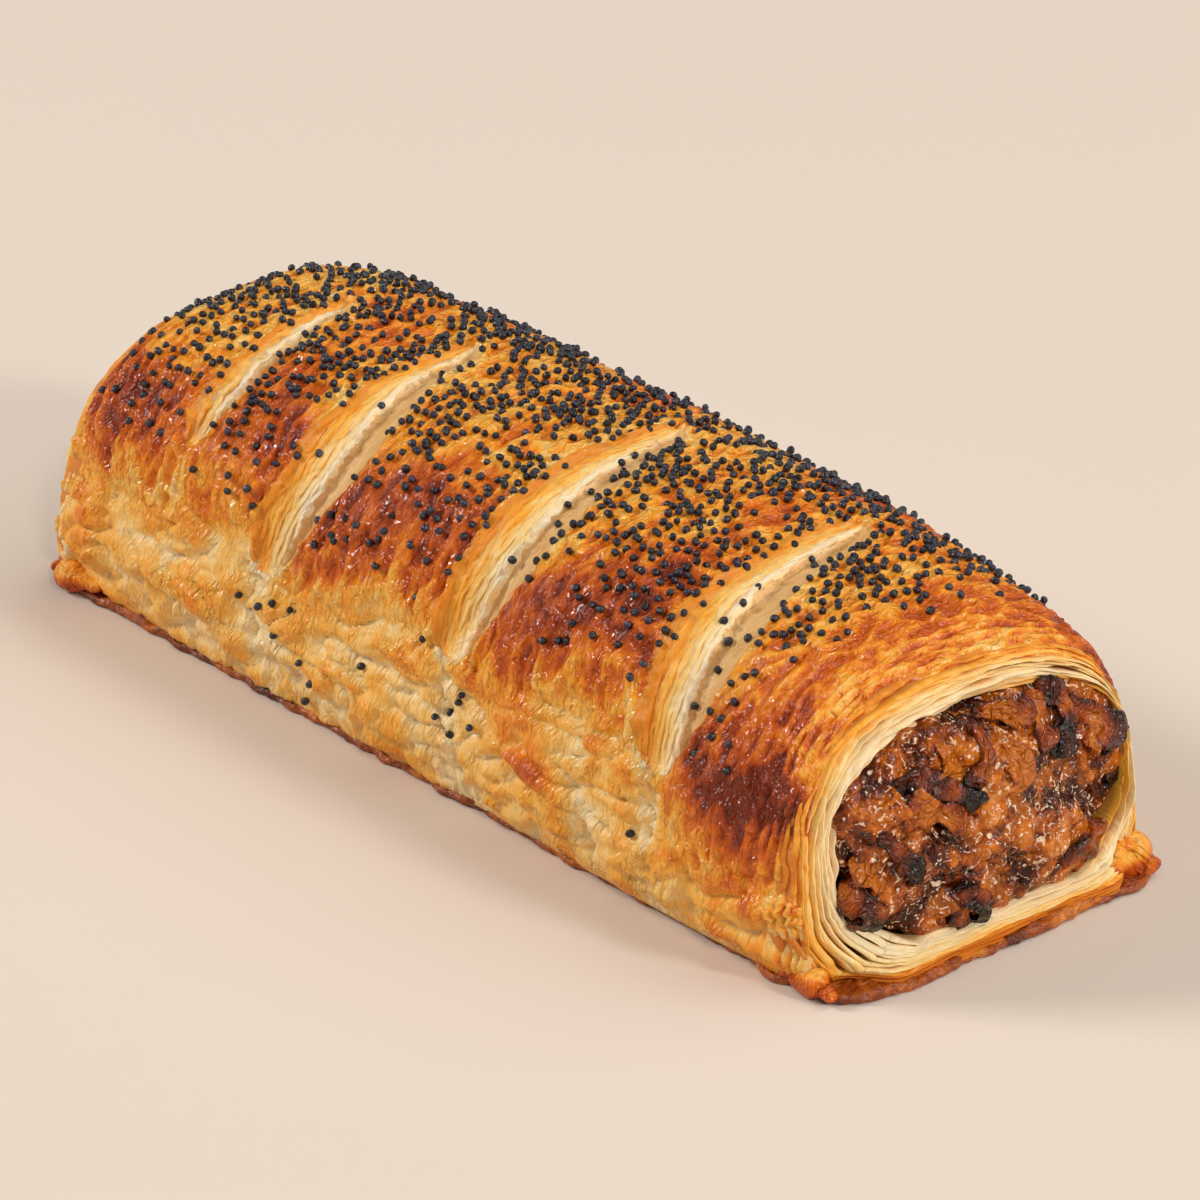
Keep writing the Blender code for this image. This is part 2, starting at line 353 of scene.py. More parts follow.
def lay_sheet(name, rows, columns):
    """A flat sheet of rows x columns faces. Also the row and the column number of each vertex."""
    bpy.ops.object.select_all(action="DESELECT")
    bpy.ops.mesh.primitive_grid_add(x_subdivisions=columns, y_subdivisions=rows, size=1.0)
    sheet = bpy.context.object
    sheet.name = name
    sheet.data.name = name
    flat = np.zeros(len(sheet.data.vertices) * 3)
    sheet.data.vertices.foreach_get("co", flat)
    flat = flat.reshape(-1, 3) + 0.5
    return sheet, np.rint(flat[:, 1] * rows).astype(int), np.rint(flat[:, 0] * columns).astype(int)


def paint(piece, name, values):
    """Store one number for each vertex, which the piece's material reads by name."""
    layer = piece.data.attributes.new(name, "FLOAT", "POINT")
    layer.data.foreach_set("value", np.ascontiguousarray(values, dtype=np.float32))


def map_skin(piece, x, arc):
    """Store the place on the skin's own map, along and round the roll, in millimetres."""
    layer = piece.data.attributes.new("skin_map", "FLOAT_VECTOR", "POINT")
    flat = np.stack([x * 1000.0, arc * 1000.0, np.zeros_like(x)], axis=-1)
    layer.data.foreach_set("vector", np.ascontiguousarray(flat, dtype=np.float32).ravel())


def close_sheet(piece, places, smooth_angle=180.0):
    """Wrap a sheet round its places, join its seams and turn its faces outwards."""
    piece.data.vertices.foreach_set("co", np.ascontiguousarray(places).ravel())
    select_only(piece)
    bpy.ops.object.mode_set(mode="EDIT")
    bpy.ops.mesh.select_all(action="SELECT")
    bpy.ops.mesh.remove_doubles(threshold=0.000002)
    bpy.ops.mesh.normals_make_consistent(inside=False)
    bpy.ops.object.mode_set(mode="OBJECT")
    bpy.ops.object.shade_smooth_by_angle(angle=math.radians(smooth_angle))


def slash_fields(x, angle, arc):
    """How far the slashes lower the skin, and the masks of their lips, floors, edges and seams."""
    fields = {name: np.zeros_like(x) for name in ("drop", "lip", "tier", "floor", "gold", "seam")}
    ragged = 0.16 * swirl(at(x, arc, 0.0050, 0.0046), 11) + 0.09 * swirl(at(x, arc, 0.0018, 0.0015), 12)
    for slash in SLASHES:
        share = (angle - slash["start"]) / (slash["end"] - slash["start"])
        along = np.clip(share, 0.0, 1.0)
        inside = (share > 0.0) & (share < 1.0)
        middle, half_width, opening = slash_path(slash, along)
        across = x - middle
        place = across / np.maximum(half_width, 0.0004)
        split = floor_start(along) + ragged
        slope = smoothstep(-1.15, split, place)
        step = smoothstep(split - 0.10, split + 0.05, place)
        ramp = smoothstep(np.minimum(split + 0.25, 0.9), 1.0, place)
        edge = smoothstep(0.90, 1.12, place + 0.5 * ragged)
        down = LIP_FALL * slope + FLOOR_STEP * step - SKIN_STEP * edge
        down = down - (LIP_FALL + FLOOR_STEP - SKIN_STEP) * ramp
        fields["drop"] += (down + PUFF * np.exp(-((across / PUFF_REACH) ** 2))) * opening * inside
        shown = inside * smoothstep(0.0, 0.25, opening)
        fields["lip"] = np.maximum(fields["lip"], shown * smoothstep(-1.1, -0.8, place) * (1.0 - step))
        fields["floor"] = np.maximum(fields["floor"], shown * step * (1.0 - edge))
        tier = np.clip((place + 1.0) / (split + 1.0), 0.0, 1.0)
        fields["tier"] = np.where(inside & (np.abs(place) < 1.2), tier, fields["tier"])
        outside = np.abs(across) - half_width
        spread = np.where(across < 0.0, 0.0034, 0.0012)
        beside = np.exp(-np.maximum(outside, 0.0) / spread)
        beside = beside * smoothstep(-0.10, 0.04, share) * smoothstep(1.07, 0.94, share)
        fields["gold"] = np.maximum(fields["gold"], beside)
        seam = np.exp(-((across + 0.0006) / 0.0026) ** 2) * smoothstep(-1.2, -0.15, share)
        fields["seam"] = np.maximum(fields["seam"], seam * smoothstep(0.22, 0.02, share))
    return fields


def browning(x, arc, z):
    """Height over the lower edge of the browned glaze in mm. The edge is ragged, and low in front."""
    level = GLAZE_LEVEL - GLAZE_DIP * smoothstep(0.043, 0.062, x) + 0.0022 * np.cos(x / 0.0059 + 0.6)
    level = level + 0.0018 * swirl(at(x, arc * 0.3, 0.010, 0.02), 13)
    return (z - level - 0.0022 * swirl(at(x, arc * 0.5, 0.0034, 0.012), 14)) * 1000.0


def crust_fields(x, angle, arc, z, end_gap):
    """The skin's height over the plain arch, and the masks that its colours follow."""
    fields = slash_fields(x, angle, arc)
    above = browning(x, arc, z)
    glazed = smoothstep(-5.0, 1.0, above)
    closed = 1.0 - np.maximum(fields["lip"], fields["floor"])
    warp = swirl(at(x, arc, 0.0052, 0.0060), 21)
    folds = ridges(at(x + 0.0010 * warp, arc, 0.0021, 0.0052), 22)
    crinkles = ridges(at(x + 0.0006 * warp, arc, 0.0011, 0.0023, 3.0), 23)
    pleats = ridges(at(x + 0.0012 * warp, arc, 0.0043, 0.020), 24)
    pleated = smoothstep(-4.0, 1.0, above) * smoothstep(13.0, 4.0, above)
    blister = smoothstep(0.40, 0.15, pebbles(at(x, arc, 0.0034, 0.0038, 0.5), 25))
    blister = blister * smoothstep(0.0, 0.4, swirl(at(x, arc, 0.012, 0.010), 26))
    lumps = swirl(at(x, arc, 0.0085, 0.0070), 27) + 0.6 * swirl(at(x, arc, 0.0038, 0.0034), 28)
    crease = ridges(at(x + 0.001 * warp, arc, 0.0078, 0.0048, 7.0), 29) ** 3
    clumps = swirl(at(x, arc, 0.0019, 0.0015), 30)
    flakes = swirl(at(x, arc + 0.0008 * warp, 0.0105, 0.0042, 2.0), 31)
    ledges = smoothstep(-0.05, 0.02, flakes) + smoothstep(0.28, 0.34, flakes)
    drips = ridges(at(x + 0.0012 * warp, arc, 0.0046, 0.013), 35) - 0.3
    strands = ridges(at(x, arc, 0.0011, 0.011), 32)
    near_cut = smoothstep(0.0075, 0.0025, end_gap)
    bevel = np.clip(1.0 - end_gap / BEVEL_LENGTH, 0.0, 1.0)
    low_foot = smoothstep(-14.0, -26.0, angle)
    relief = -fields["drop"] - BEVEL_DEPTH * (1.0 - np.sqrt(1.0 - bevel ** 2))
    relief += SWELL_HEIGHT * swirl(at(x, arc, 0.018, 0.015), 33)
    wrinkled = glazed * closed * (1.0 - 0.8 * near_cut)
    relief += wrinkled * (FOLD_HEIGHT * folds + CRINKLE_HEIGHT * crinkles + BLISTER_HEIGHT * blister)
    relief += closed * pleated * (1.0 - near_cut) * PLEAT_HEIGHT * (pleats - 0.3)
    pale = (1.0 - glazed) * closed
    relief += pale * (LUMP_HEIGHT * lumps - CREASE_DEPTH * crease + CLUMP_HEIGHT * clumps
                      + LEDGE_HEIGHT * ledges)
    relief += pale * (CRUMB_HEIGHT * clumps * crease + DRIP_HEIGHT * drips * smoothstep(0.013, 0.006, z))
    relief -= fields["seam"] * closed * SEAM_DEPTH * (1.0 - clumps)
    relief += fields["lip"] * LIP_STRAND_HEIGHT * strands
    relief += near_cut * STRAND_HEIGHT * (strands - 0.4)
    fields["relief"] = relief * (1.0 - 0.6 * low_foot)
    # How far the crust browned, 0 pale to 1 dark, with painted shade and light from its folds added in.
    bake_and_shade = 0.21 + 0.20 * smoothstep(-9.0, -2.0, above) + 0.19 * smoothstep(-2.5, 2.5, above)
    bake_and_shade += 0.33 * smoothstep(0.0, 9.0, above) - 0.44 * smoothstep(10.0, 17.0, above)
    front_top = smoothstep(0.030, 0.050, x) * smoothstep(4.0, 9.0, above) * smoothstep(24.0, 12.0, above)
    bake_and_shade += 0.20 * front_top
    bake_and_shade += 0.24 * smoothstep(-0.058, -0.076, x) + 0.20 * smoothstep(0.054, 0.068, x)
    bake_and_shade -= 0.24 * fields["gold"] + 0.22 * fields["seam"]
    bake_and_shade += 0.13 * swirl(at(x, arc, 0.013, 0.011), 41) + 0.12 * swirl(at(x, arc, 0.0036, 0.0070), 42)
    # Painted shade and light: the glaze is darker in the grooves of its folds and pleats and lighter on
    # their crests.
    bake_and_shade += glazed * (0.30 * (0.35 - folds) + 0.22 * pleated * (0.4 - pleats))
    bake_and_shade += pale * (0.14 * lumps - 0.20 * crease - 0.05 * clumps + 0.07 * ledges)
    bake_and_shade -= 0.24 * smoothstep(0.0075, 0.0020, end_gap) + 0.36 * near_cut * (strands - 0.5)
    patch = np.exp(-((x - PATCH_X) / 0.0055) ** 2 - ((z - PATCH_Z) / 0.0032 + 0.4 * warp) ** 2)
    fields["bake_and_shade"] = bake_and_shade + 0.42 * patch
    gloss = np.clip(smoothstep(-8.0, 0.0, above) + patch, 0.0, 1.0) * closed
    gloss = np.maximum(gloss, 0.8 * pale * smoothstep(0.0, 0.5, lumps))
    fields["gloss"] = gloss * (1.0 - 0.3 * near_cut)
    return fields


def end_rows(side):
    """The end face, from the bevelled rim in to the tunnel."""
    rows = []
    rim = sleeve_point(np.full_like(angles, float(side)), angles, BEVEL_DEPTH)
    inner_y, inner_z = meat_outline(rim[:, 1] + (END_SHIFT if side > 0 else 0.0), rim[:, 2], FIT_GAP)
    for share in (0.06, 0.25, 0.6, 1.0):
        y = rim[:, 1] + (inner_y - rim[:, 1]) * share
        z = rim[:, 2] + (inner_z - rim[:, 2]) * share
        rows.append(np.stack([cut_x(side, y, z) - side * FACE_RECESS * smoothstep(0.0, 0.3, share), y, z],
                             axis=-1))
    return rows


angles, arcs = section_loop()
outer_rows = [sleeve_point(np.full_like(angles, share), angles) for share in sleeve_rows()]
front_rows = end_rows(1)
back_rows = end_rows(-1)
tunnel_rows = [front_rows[-1] * (1.0 - share) + back_rows[-1] * share
               for share in np.linspace(0.0, 1.0, 6)[1:-1]]
crust_grid = np.stack(outer_rows + front_rows + tunnel_rows + back_rows[::-1])
skin_rows = len(outer_rows)
row_count, column_count = crust_grid.shape[:2]
grid_x, grid_y, grid_z = np.moveaxis(crust_grid, -1, 0)
grid_angle = np.broadcast_to(angles, (row_count, column_count))
grid_arc = np.broadcast_to(arcs, (row_count, column_count))
end_gap = np.minimum(cut_x(1, grid_y, grid_z) - grid_x, grid_x - cut_x(-1, grid_y, grid_z))
skin_fields = crust_fields(grid_x, grid_angle, grid_arc, grid_z, np.maximum(end_gap, 0.0))
along = np.roll(crust_grid, -1, axis=0) - np.roll(crust_grid, 1, axis=0)
around = np.roll(crust_grid, -1, axis=1) - np.roll(crust_grid, 1, axis=1)
along[0], along[skin_rows - 1] = along[1], along[skin_rows - 2]
crust_normals = unit(np.cross(along, around))
is_skin = np.zeros((row_count, column_count))
is_skin[:skin_rows] = (angles > 1.0 - FOOT_ANGLE) & (angles < 179.0 + FOOT_ANGLE)
crust_places = crust_grid + crust_normals * (skin_fields["relief"] * is_skin)[..., None]
# The end faces and the tunnel between them, which are painted in a dark shade colour.
is_face = np.zeros((row_count, column_count))
is_face[skin_rows:] = 1.0

crust, row_number, column_number = lay_sheet("crust", row_count, column_count)
row_number = row_number % row_count
column_number = column_number % column_count
for name in ("bake_and_shade", "gloss", "lip", "tier", "floor"):
    paint(crust, name, skin_fields[name][row_number, column_number])
paint(crust, "shaded_end_face", is_face[row_number, column_number])
map_skin(crust, grid_x[row_number, column_number], grid_arc[row_number, column_number])
close_sheet(crust, crust_places[row_number, column_number])


def add_node(tree, kind, **settings):
    """A shader node with its settings. Keys that name an input set that input's value."""
    node = tree.nodes.new(kind)
    for key, value in settings.items():
        if key in node.inputs.keys():
            node.inputs[key].default_value = value
        else:
            setattr(node, key, value)
    return node


def add_ramp(tree, stops, fac):
    """A colour ramp through (place, colour) stops, driven by a socket."""
    ramp = tree.nodes.new("ShaderNodeValToRGB")
    while len(ramp.color_ramp.elements) < len(stops):
        ramp.color_ramp.elements.new(0.5)
    for element, (place, color) in zip(ramp.color_ramp.elements, stops):
        element.position = place
        element.color = (*color, 1.0)
    tree.links.new(fac, ramp.inputs["Fac"])
    return ramp.outputs["Color"]


def feed(tree, term, socket):
    """Give a node's socket its value: a number, a colour or another socket."""
    if isinstance(term, tuple):
        socket.default_value = (*term, 1.0)
    elif isinstance(term, (int, float)):
        socket.default_value = term
    else:
        tree.links.new(term, socket)


def calculate(tree, operation, *terms):
    """The result of a Math node. Each term is a socket or a number."""
    node = add_node(tree, "ShaderNodeMath", operation=operation)
    for index, term in enumerate(terms):
        feed(tree, term, node.inputs[index])
    return node.outputs["Value"]


def weigh(tree, start, *terms):
    """A number plus a weighted sum of (weight, socket) terms."""
    total = start
    for weight, socket in terms:
        total = calculate(tree, "MULTIPLY_ADD", socket, weight, total)
    return total


def mix_color(tree, fac, first, second):
    """The result of a colour mix. Colours are sockets or tuples, and fac is a socket."""
    node = add_node(tree, "ShaderNodeMix", data_type="RGBA")
    for term, index in ((fac, 0), (first, 6), (second, 7)):
        feed(tree, term, node.inputs[index])
    return node.outputs[2]


def rise(tree, socket, low, high):
    """A socket's value, smoothly from 0 at low to 1 at high."""
    node = add_node(tree, "ShaderNodeMapRange", interpolation_type="SMOOTHSTEP")
    for term, name in ((socket, "Value"), (low, "From Min"), (high, "From Max")):
        feed(tree, term, node.inputs[name])
    return node.outputs["Result"]


def read(tree, name, output="Fac"):
    """One of the piece's own painted values."""
    return add_node(tree, "ShaderNodeAttribute", attribute_name=name).outputs[output]


def new_group(name, inputs, outputs):
    """An empty shader node group with its sockets, and its inner ends."""
    group = bpy.data.node_groups.new(name, "ShaderNodeTree")
    for socket, kind in inputs:
        group.interface.new_socket(name=socket, in_out="INPUT", socket_type=kind)
    for socket, kind in outputs:
        group.interface.new_socket(name=socket, in_out="OUTPUT", socket_type=kind)
    return group, group.nodes.new("NodeGroupInput").outputs, group.nodes.new("NodeGroupOutput").inputs


grain_group, given, result = new_group(
    "stretched_grain",
    (("Vector", "NodeSocketVector"), ("Stretch", "NodeSocketVector"), ("Scale", "NodeSocketFloat"),
     ("Detail", "NodeSocketFloat"), ("Distortion", "NodeSocketFloat")),
    (("Value", "NodeSocketFloat"),))
stretching = add_node(grain_group, "ShaderNodeVectorMath", operation="MULTIPLY")
waves = add_node(grain_group, "ShaderNodeTexNoise", Roughness=0.55)
grain_group.links.new(given["Vector"], stretching.inputs[0])
grain_group.links.new(given["Stretch"], stretching.inputs[1])
grain_group.links.new(stretching.outputs["Vector"], waves.inputs["Vector"])
for socket in ("Scale", "Detail", "Distortion"):
    grain_group.links.new(given[socket], waves.inputs[socket])
grain_group.links.new(waves.outputs["Fac"], result["Value"])


def grain(tree, vector, scale, detail=3.0, distortion=0.0, stretch=(1.0, 1.0, 1.0)):
    """Noise at so many waves for each unit of a vector, which may be stretched."""
    node = add_node(tree, "ShaderNodeGroup", node_tree=grain_group)
    node.inputs["Stretch"].default_value = stretch
    for term, name in ((vector, "Vector"), (scale, "Scale"), (detail, "Detail"),
                       (distortion, "Distortion")):
        feed(tree, term, node.inputs[name])
    return node.outputs["Value"]


def new_material(name, roughness, **constants):
    """A material with its Principled shader, whose constant sockets are set here."""
    material = bpy.data.materials.new(name)
    material.use_nodes = True
    shader = material.node_tree.nodes["Principled BSDF"]
    shader.inputs["Roughness"].default_value = roughness
    for key, value in constants.items():
        shader.inputs[key.replace("_", " ")].default_value = value
    return material, material.node_tree, shader


def bump(tree, shader, height, distance, strength):
    """Fine relief on a shader, in metres of height."""
    node = add_node(tree, "ShaderNodeBump", Strength=strength, Distance=distance)
    tree.links.new(height, node.inputs["Height"])
    tree.links.new(node.outputs["Normal"], shader.inputs["Normal"])


BAKE_TONES = ((0.00, (0.92, 0.70, 0.37)), (0.15, (0.92, 0.56, 0.16)), (0.30, (0.93, 0.44, 0.055)),
              (0.45, (0.90, 0.30, 0.014)), (0.60, (0.74, 0.160, 0.004)), (0.75, (0.57, 0.092, 0.002)),
              (0.90, (0.38, 0.046, 0.002)), (1.00, (0.20, 0.022, 0.002)))
LEAF_SOFTNESS = dict(Subsurface_Radius=(0.9, 0.5, 0.2), Subsurface_Scale=0.0010, Subsurface_Weight=0.12)
LEAF_TONES = ((0.00, (0.84, 0.26, 0.010)), (0.25, (0.95, 0.42, 0.04)), (0.50, (0.97, 0.60, 0.17)),
              (0.75, (0.97, 0.72, 0.36)), (1.00, (0.98, 0.83, 0.60)))

layer_group, given, result = new_group(
    "leaf_layers", (("Skin", "NodeSocketVector"), ("Tier", "NodeSocketFloat")),
    (("Color", "NodeSocketColor"), ("Height", "NodeSocketFloat")))
streaks = grain(layer_group, given["Skin"], 1.0, 4.0, 0.8, (3.0, 0.25, 1.0))
mottle = grain(layer_group, given["Skin"], 0.35, stretch=(1.0, 0.6, 1.0))
tone = weigh(layer_group, -0.90, (1.0, given["Tier"]), (1.05, streaks), (0.50, mottle))
layer_group.links.new(add_ramp(layer_group, LEAF_TONES, tone), result["Color"])
layer_group.links.new(streaks, result["Height"])


def leaf_layers(tree, skin, tier):
    """The colour and the fine height of stacked leaves, from gold (tier 0) to creamy (tier 1)."""
    node = add_node(tree, "ShaderNodeGroup", node_tree=layer_group)
    feed(tree, skin, node.inputs["Skin"])
    feed(tree, tier, node.inputs["Tier"])
    return node.outputs["Color"], node.outputs["Height"]


crust_material, tree, shader = new_material(
    "baked_crust", 0.4, Specular_IOR_Level=0.44, Subsurface_Radius=(0.8, 0.35, 0.12),
    Subsurface_Scale=0.0010, Subsurface_Weight=0.06)
skin = read(tree, "skin_map", "Vector")
crinkle = grain(tree, skin, 1.0, 4.0, 1.4, (1.5, 0.62, 1.0))
specks = grain(tree, skin, 3.2, stretch=(1.0, 0.7, 1.0))
mottle = grain(tree, skin, 0.30, 4.0, stretch=(1.0, 0.7, 1.0))
# The tone follows the browning, which carries painted shade in the glaze's fold grooves and painted light
# on their crests.
tone = weigh(tree, -0.46, (1.0, read(tree, "bake_and_shade")), (0.46, crinkle), (0.16, specks), (0.30, mottle))
skin_color = add_ramp(tree, BAKE_TONES, tone)
leaf_color, streaks = leaf_layers(tree, skin, read(tree, "tier"))
skin_color = mix_color(tree, read(tree, "lip"), skin_color, leaf_color)
floor_color = add_ramp(tree, ((0.30, (0.60, 0.29, 0.08)), (0.52, (0.76, 0.45, 0.17)),
                              (0.75, (0.88, 0.63, 0.32))), weigh(tree, 0.0, (0.5, streaks), (0.5, mottle)))
skin_color = mix_color(tree, read(tree, "floor"), skin_color, floor_color)
# Painted shade: the end face between the leaves is dark brown, like the shadowed slots between them.
skin_color = mix_color(tree, read(tree, "shaded_end_face"), skin_color, (0.40, 0.19, 0.055))
tree.links.new(skin_color, shader.inputs["Base Color"])
gloss = read(tree, "gloss")
tree.links.new(weigh(tree, 0.46, (-0.33, gloss)), shader.inputs["Roughness"])
wrinkle = grain(tree, skin, 0.85, 1.0, 1.2, (1.3, 0.55, 1.0))
ripple = grain(tree, skin, 1.7, 1.0, 0.5, (1.0, 0.7, 1.0))
height = weigh(tree, 0.0, (1.0, wrinkle), (0.36, ripple))
height = calculate(tree, "MULTIPLY", height, weigh(tree, 0.45, (0.55, gloss)))
bump(tree, shader, height, 0.0010, 1.0)
crust.data.materials.append(crust_material)
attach(crust, "root")
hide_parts("pastry")

# ------------------------------------------------------------------ slash leaves
# Where the knife went through, the crust's cut edge shows on the -X side of each slash: thin baked
# leaves that overlap like shingles, gold above and creamy below, down to the soft floor. Each leaf
# is a thin closed strip, laid on the finished skin.
LEAF_PROFILE = (    # shares of the depth back from the edge, and of the lift
    (-1.0, -0.3), (-0.6, 0.45), (-0.25, 0.85), (-0.04, 1.0), (0.0, 0.6), (-0.04, 0.1), (-0.3, -0.3),
    (-1.0, -0.7))
LEAF_PITCH = 0.0008
LEAF_STATIONS = 190
LEAF_DEPTH = 0.0016
LEAF_LIFT = 0.00034
FAR_FROM_CUT = 0.05


def skin_place(x, angle, lift):
    """A place that stands over the finished skin by a lift, at x and an angle."""
    share = share_at(x, angle)
    place = sleeve_point(share, angle)
    along = sleeve_point(share + 0.004, angle) - sleeve_point(share - 0.004, angle)
    around = sleeve_point(share, angle + 0.4) - sleeve_point(share, angle - 0.4)
    arc = np.interp(angle, angles, arcs)
    relief = crust_fields(x, angle, arc, place[..., 2], np.full_like(x, FAR_FROM_CUT))["relief"]
    return place + unit(np.cross(along, around)) * (relief + lift)[..., None]


# Painted shade between stacked leaves: each leaf darkens back from its free edge.
depth_shade_group, given, result = new_group(
    "leaf_depth_shade",
    (("Color", "NodeSocketColor"), ("Tip", "NodeSocketFloat"), ("Shade Color", "NodeSocketColor"),
     ("Amount", "NodeSocketFloat"), ("Shallow", "NodeSocketFloat"), ("Deep", "NodeSocketFloat")),
    (("Color", "NodeSocketColor"),))
deep = calculate(depth_shade_group, "MULTIPLY", rise(depth_shade_group, given["Tip"], given["Shallow"], given["Deep"]),
                 given["Amount"])
depth_shade_group.links.new(mix_color(depth_shade_group, deep, given["Color"], given["Shade Color"]), result["Color"])


def paint_leaf_shade(tree, color, shade_color, amount, shallow, deep):
    """A leaf's colour, mixed with a painted shade colour as its own tip value falls from shallow to deep,
    back from its free edge between the leaves.
    """
    node = add_node(tree, "ShaderNodeGroup", node_tree=depth_shade_group)
    for term, name in ((color, "Color"), (read(tree, "tip"), "Tip"), (shade_color, "Shade Color"),
                       (amount, "Amount"), (shallow, "Shallow"), (deep, "Deep")):
        feed(tree, term, node.inputs[name])
    return node.outputs["Color"]


def join_pieces(pieces, name):
    """One object from several of the same kind."""
    bpy.ops.object.select_all(action="DESELECT")
    for piece in pieces:
        piece.select_set(True)
    bpy.context.view_layer.objects.active = pieces[0]
    bpy.ops.object.join()
    pieces[0].name = name
    pieces[0].data.name = name
    return pieces[0]


def slash_leaf(slash, tier, seed):
    """One leaf of a slash's lip, a thin strip whose free edge wanders."""
    dice = np.random.default_rng(seed)
    start = 0.015 + 0.16 * dice.random() * tier
    stop = 0.985 - 0.22 * dice.random() * tier
    first_arc, last_arc = np.interp(
        [slash["start"] + (slash["end"] - slash["start"]) * share for share in (start, stop)],
        angles, arcs)
    arc = np.linspace(first_arc, last_arc, LEAF_STATIONS + 1)
    angle = np.interp(arc, arcs, angles)
    share = (angle - slash["start"]) / (slash["end"] - slash["start"])
    middle, half_width, opening = slash_path(slash, share)
    place = -1.0 + (floor_start(share) + 1.0) * tier
    flat = np.full_like(arc, 10.0 * tier)
    wander = 0.00055 * swirl(at(flat, arc, 1.0, 0.0070), seed)
    wander += 0.00030 * swirl(at(flat, arc, 1.0, 0.0023), seed + 1)
    wander += 0.00012 * swirl(at(flat, arc, 1.0, 0.0008), seed + 2)
    edge_x = middle + place * half_width + wander * opening
    lift = 0.75 + 0.9 * swirl(at(flat, arc, 1.0, 0.0048), seed + 3) + 0.3 * swirl(
        at(flat, arc, 1.0, 0.0012), seed + 4)
    taper = np.minimum(1.0, np.minimum(arc - arc[0], arc[-1] - arc) / 0.004) ** 0.5
    lift = LEAF_LIFT * np.clip(lift, 0.05, 1.5) * taper * (1.0 + 0.8 * (tier > 0.97))
    leaf, row, column = lay_sheet("slash_leaf", LEAF_STATIONS, len(LEAF_PROFILE))
    profile = np.array(LEAF_PROFILE)[column % len(LEAF_PROFILE)]
    x = edge_x[row] + profile[:, 0] * LEAF_DEPTH * (0.3 + 0.7 * taper[row])
    paint(leaf, "tier", np.full(len(row), tier))
    paint(leaf, "tip", 1.0 + profile[:, 0])
    map_skin(leaf, x, arc[row])
    close_sheet(leaf, skin_place(x, angle[row], profile[:, 1] * lift[row]), 50.0)
    return leaf


strips = []
for number, slash in enumerate(SLASHES):
    count = round(1.5 * slash["half_width"] / LEAF_PITCH)
    strips += [slash_leaf(slash, order / (count - 1), 100 + 20 * number + order) for order in range(count)]
slash_leaves = join_pieces(strips, "slash_leaves")

leaf_material, tree, shader = new_material(
    "leafed_pastry", 0.42, Specular_IOR_Level=0.4, **LEAF_SOFTNESS)
skin = read(tree, "skin_map", "Vector")
leaf_color, streaks = leaf_layers(tree, skin, read(tree, "tier"))
# Painted shade: the leaves darken back from their free edges, between one another.
leaf_color = paint_leaf_shade(tree, leaf_color, (0.72, 0.27, 0.03), 0.55, 0.75, 0.20)
tree.links.new(leaf_color, shader.inputs["Base Color"])
bump(tree, shader, streaks, 0.00028, 0.8)
slash_leaves.data.materials.append(leaf_material)
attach(slash_leaves, "root")

# ------------------------------------------------------------------ end leaves
# At each cut end the crust shows its layers: wavy leaves one inside another round the meat, orange at
# the rim and creamy further in, with an amber, fat-soaked skin next to the meat. They are closed
# rings, pressed out of shape, which spread out under the meat over the base sheet.
END_PROFILE = (    # shares of the depth back from the edge, and of the thickness
    (-1.0, 0.40), (-0.40, 0.52), (-0.08, 0.46), (0.0, 0.18), (0.0, -0.18), (-0.08, -0.46),
    (-0.40, -0.52), (-1.0, -0.40))
END_LEAVES = 12
END_COLUMNS = 560
END_LEAF_DEPTH = 0.0030
BAND_FOOT = 0.0040        # the meat's lower edge is hidden behind the leaves up to here


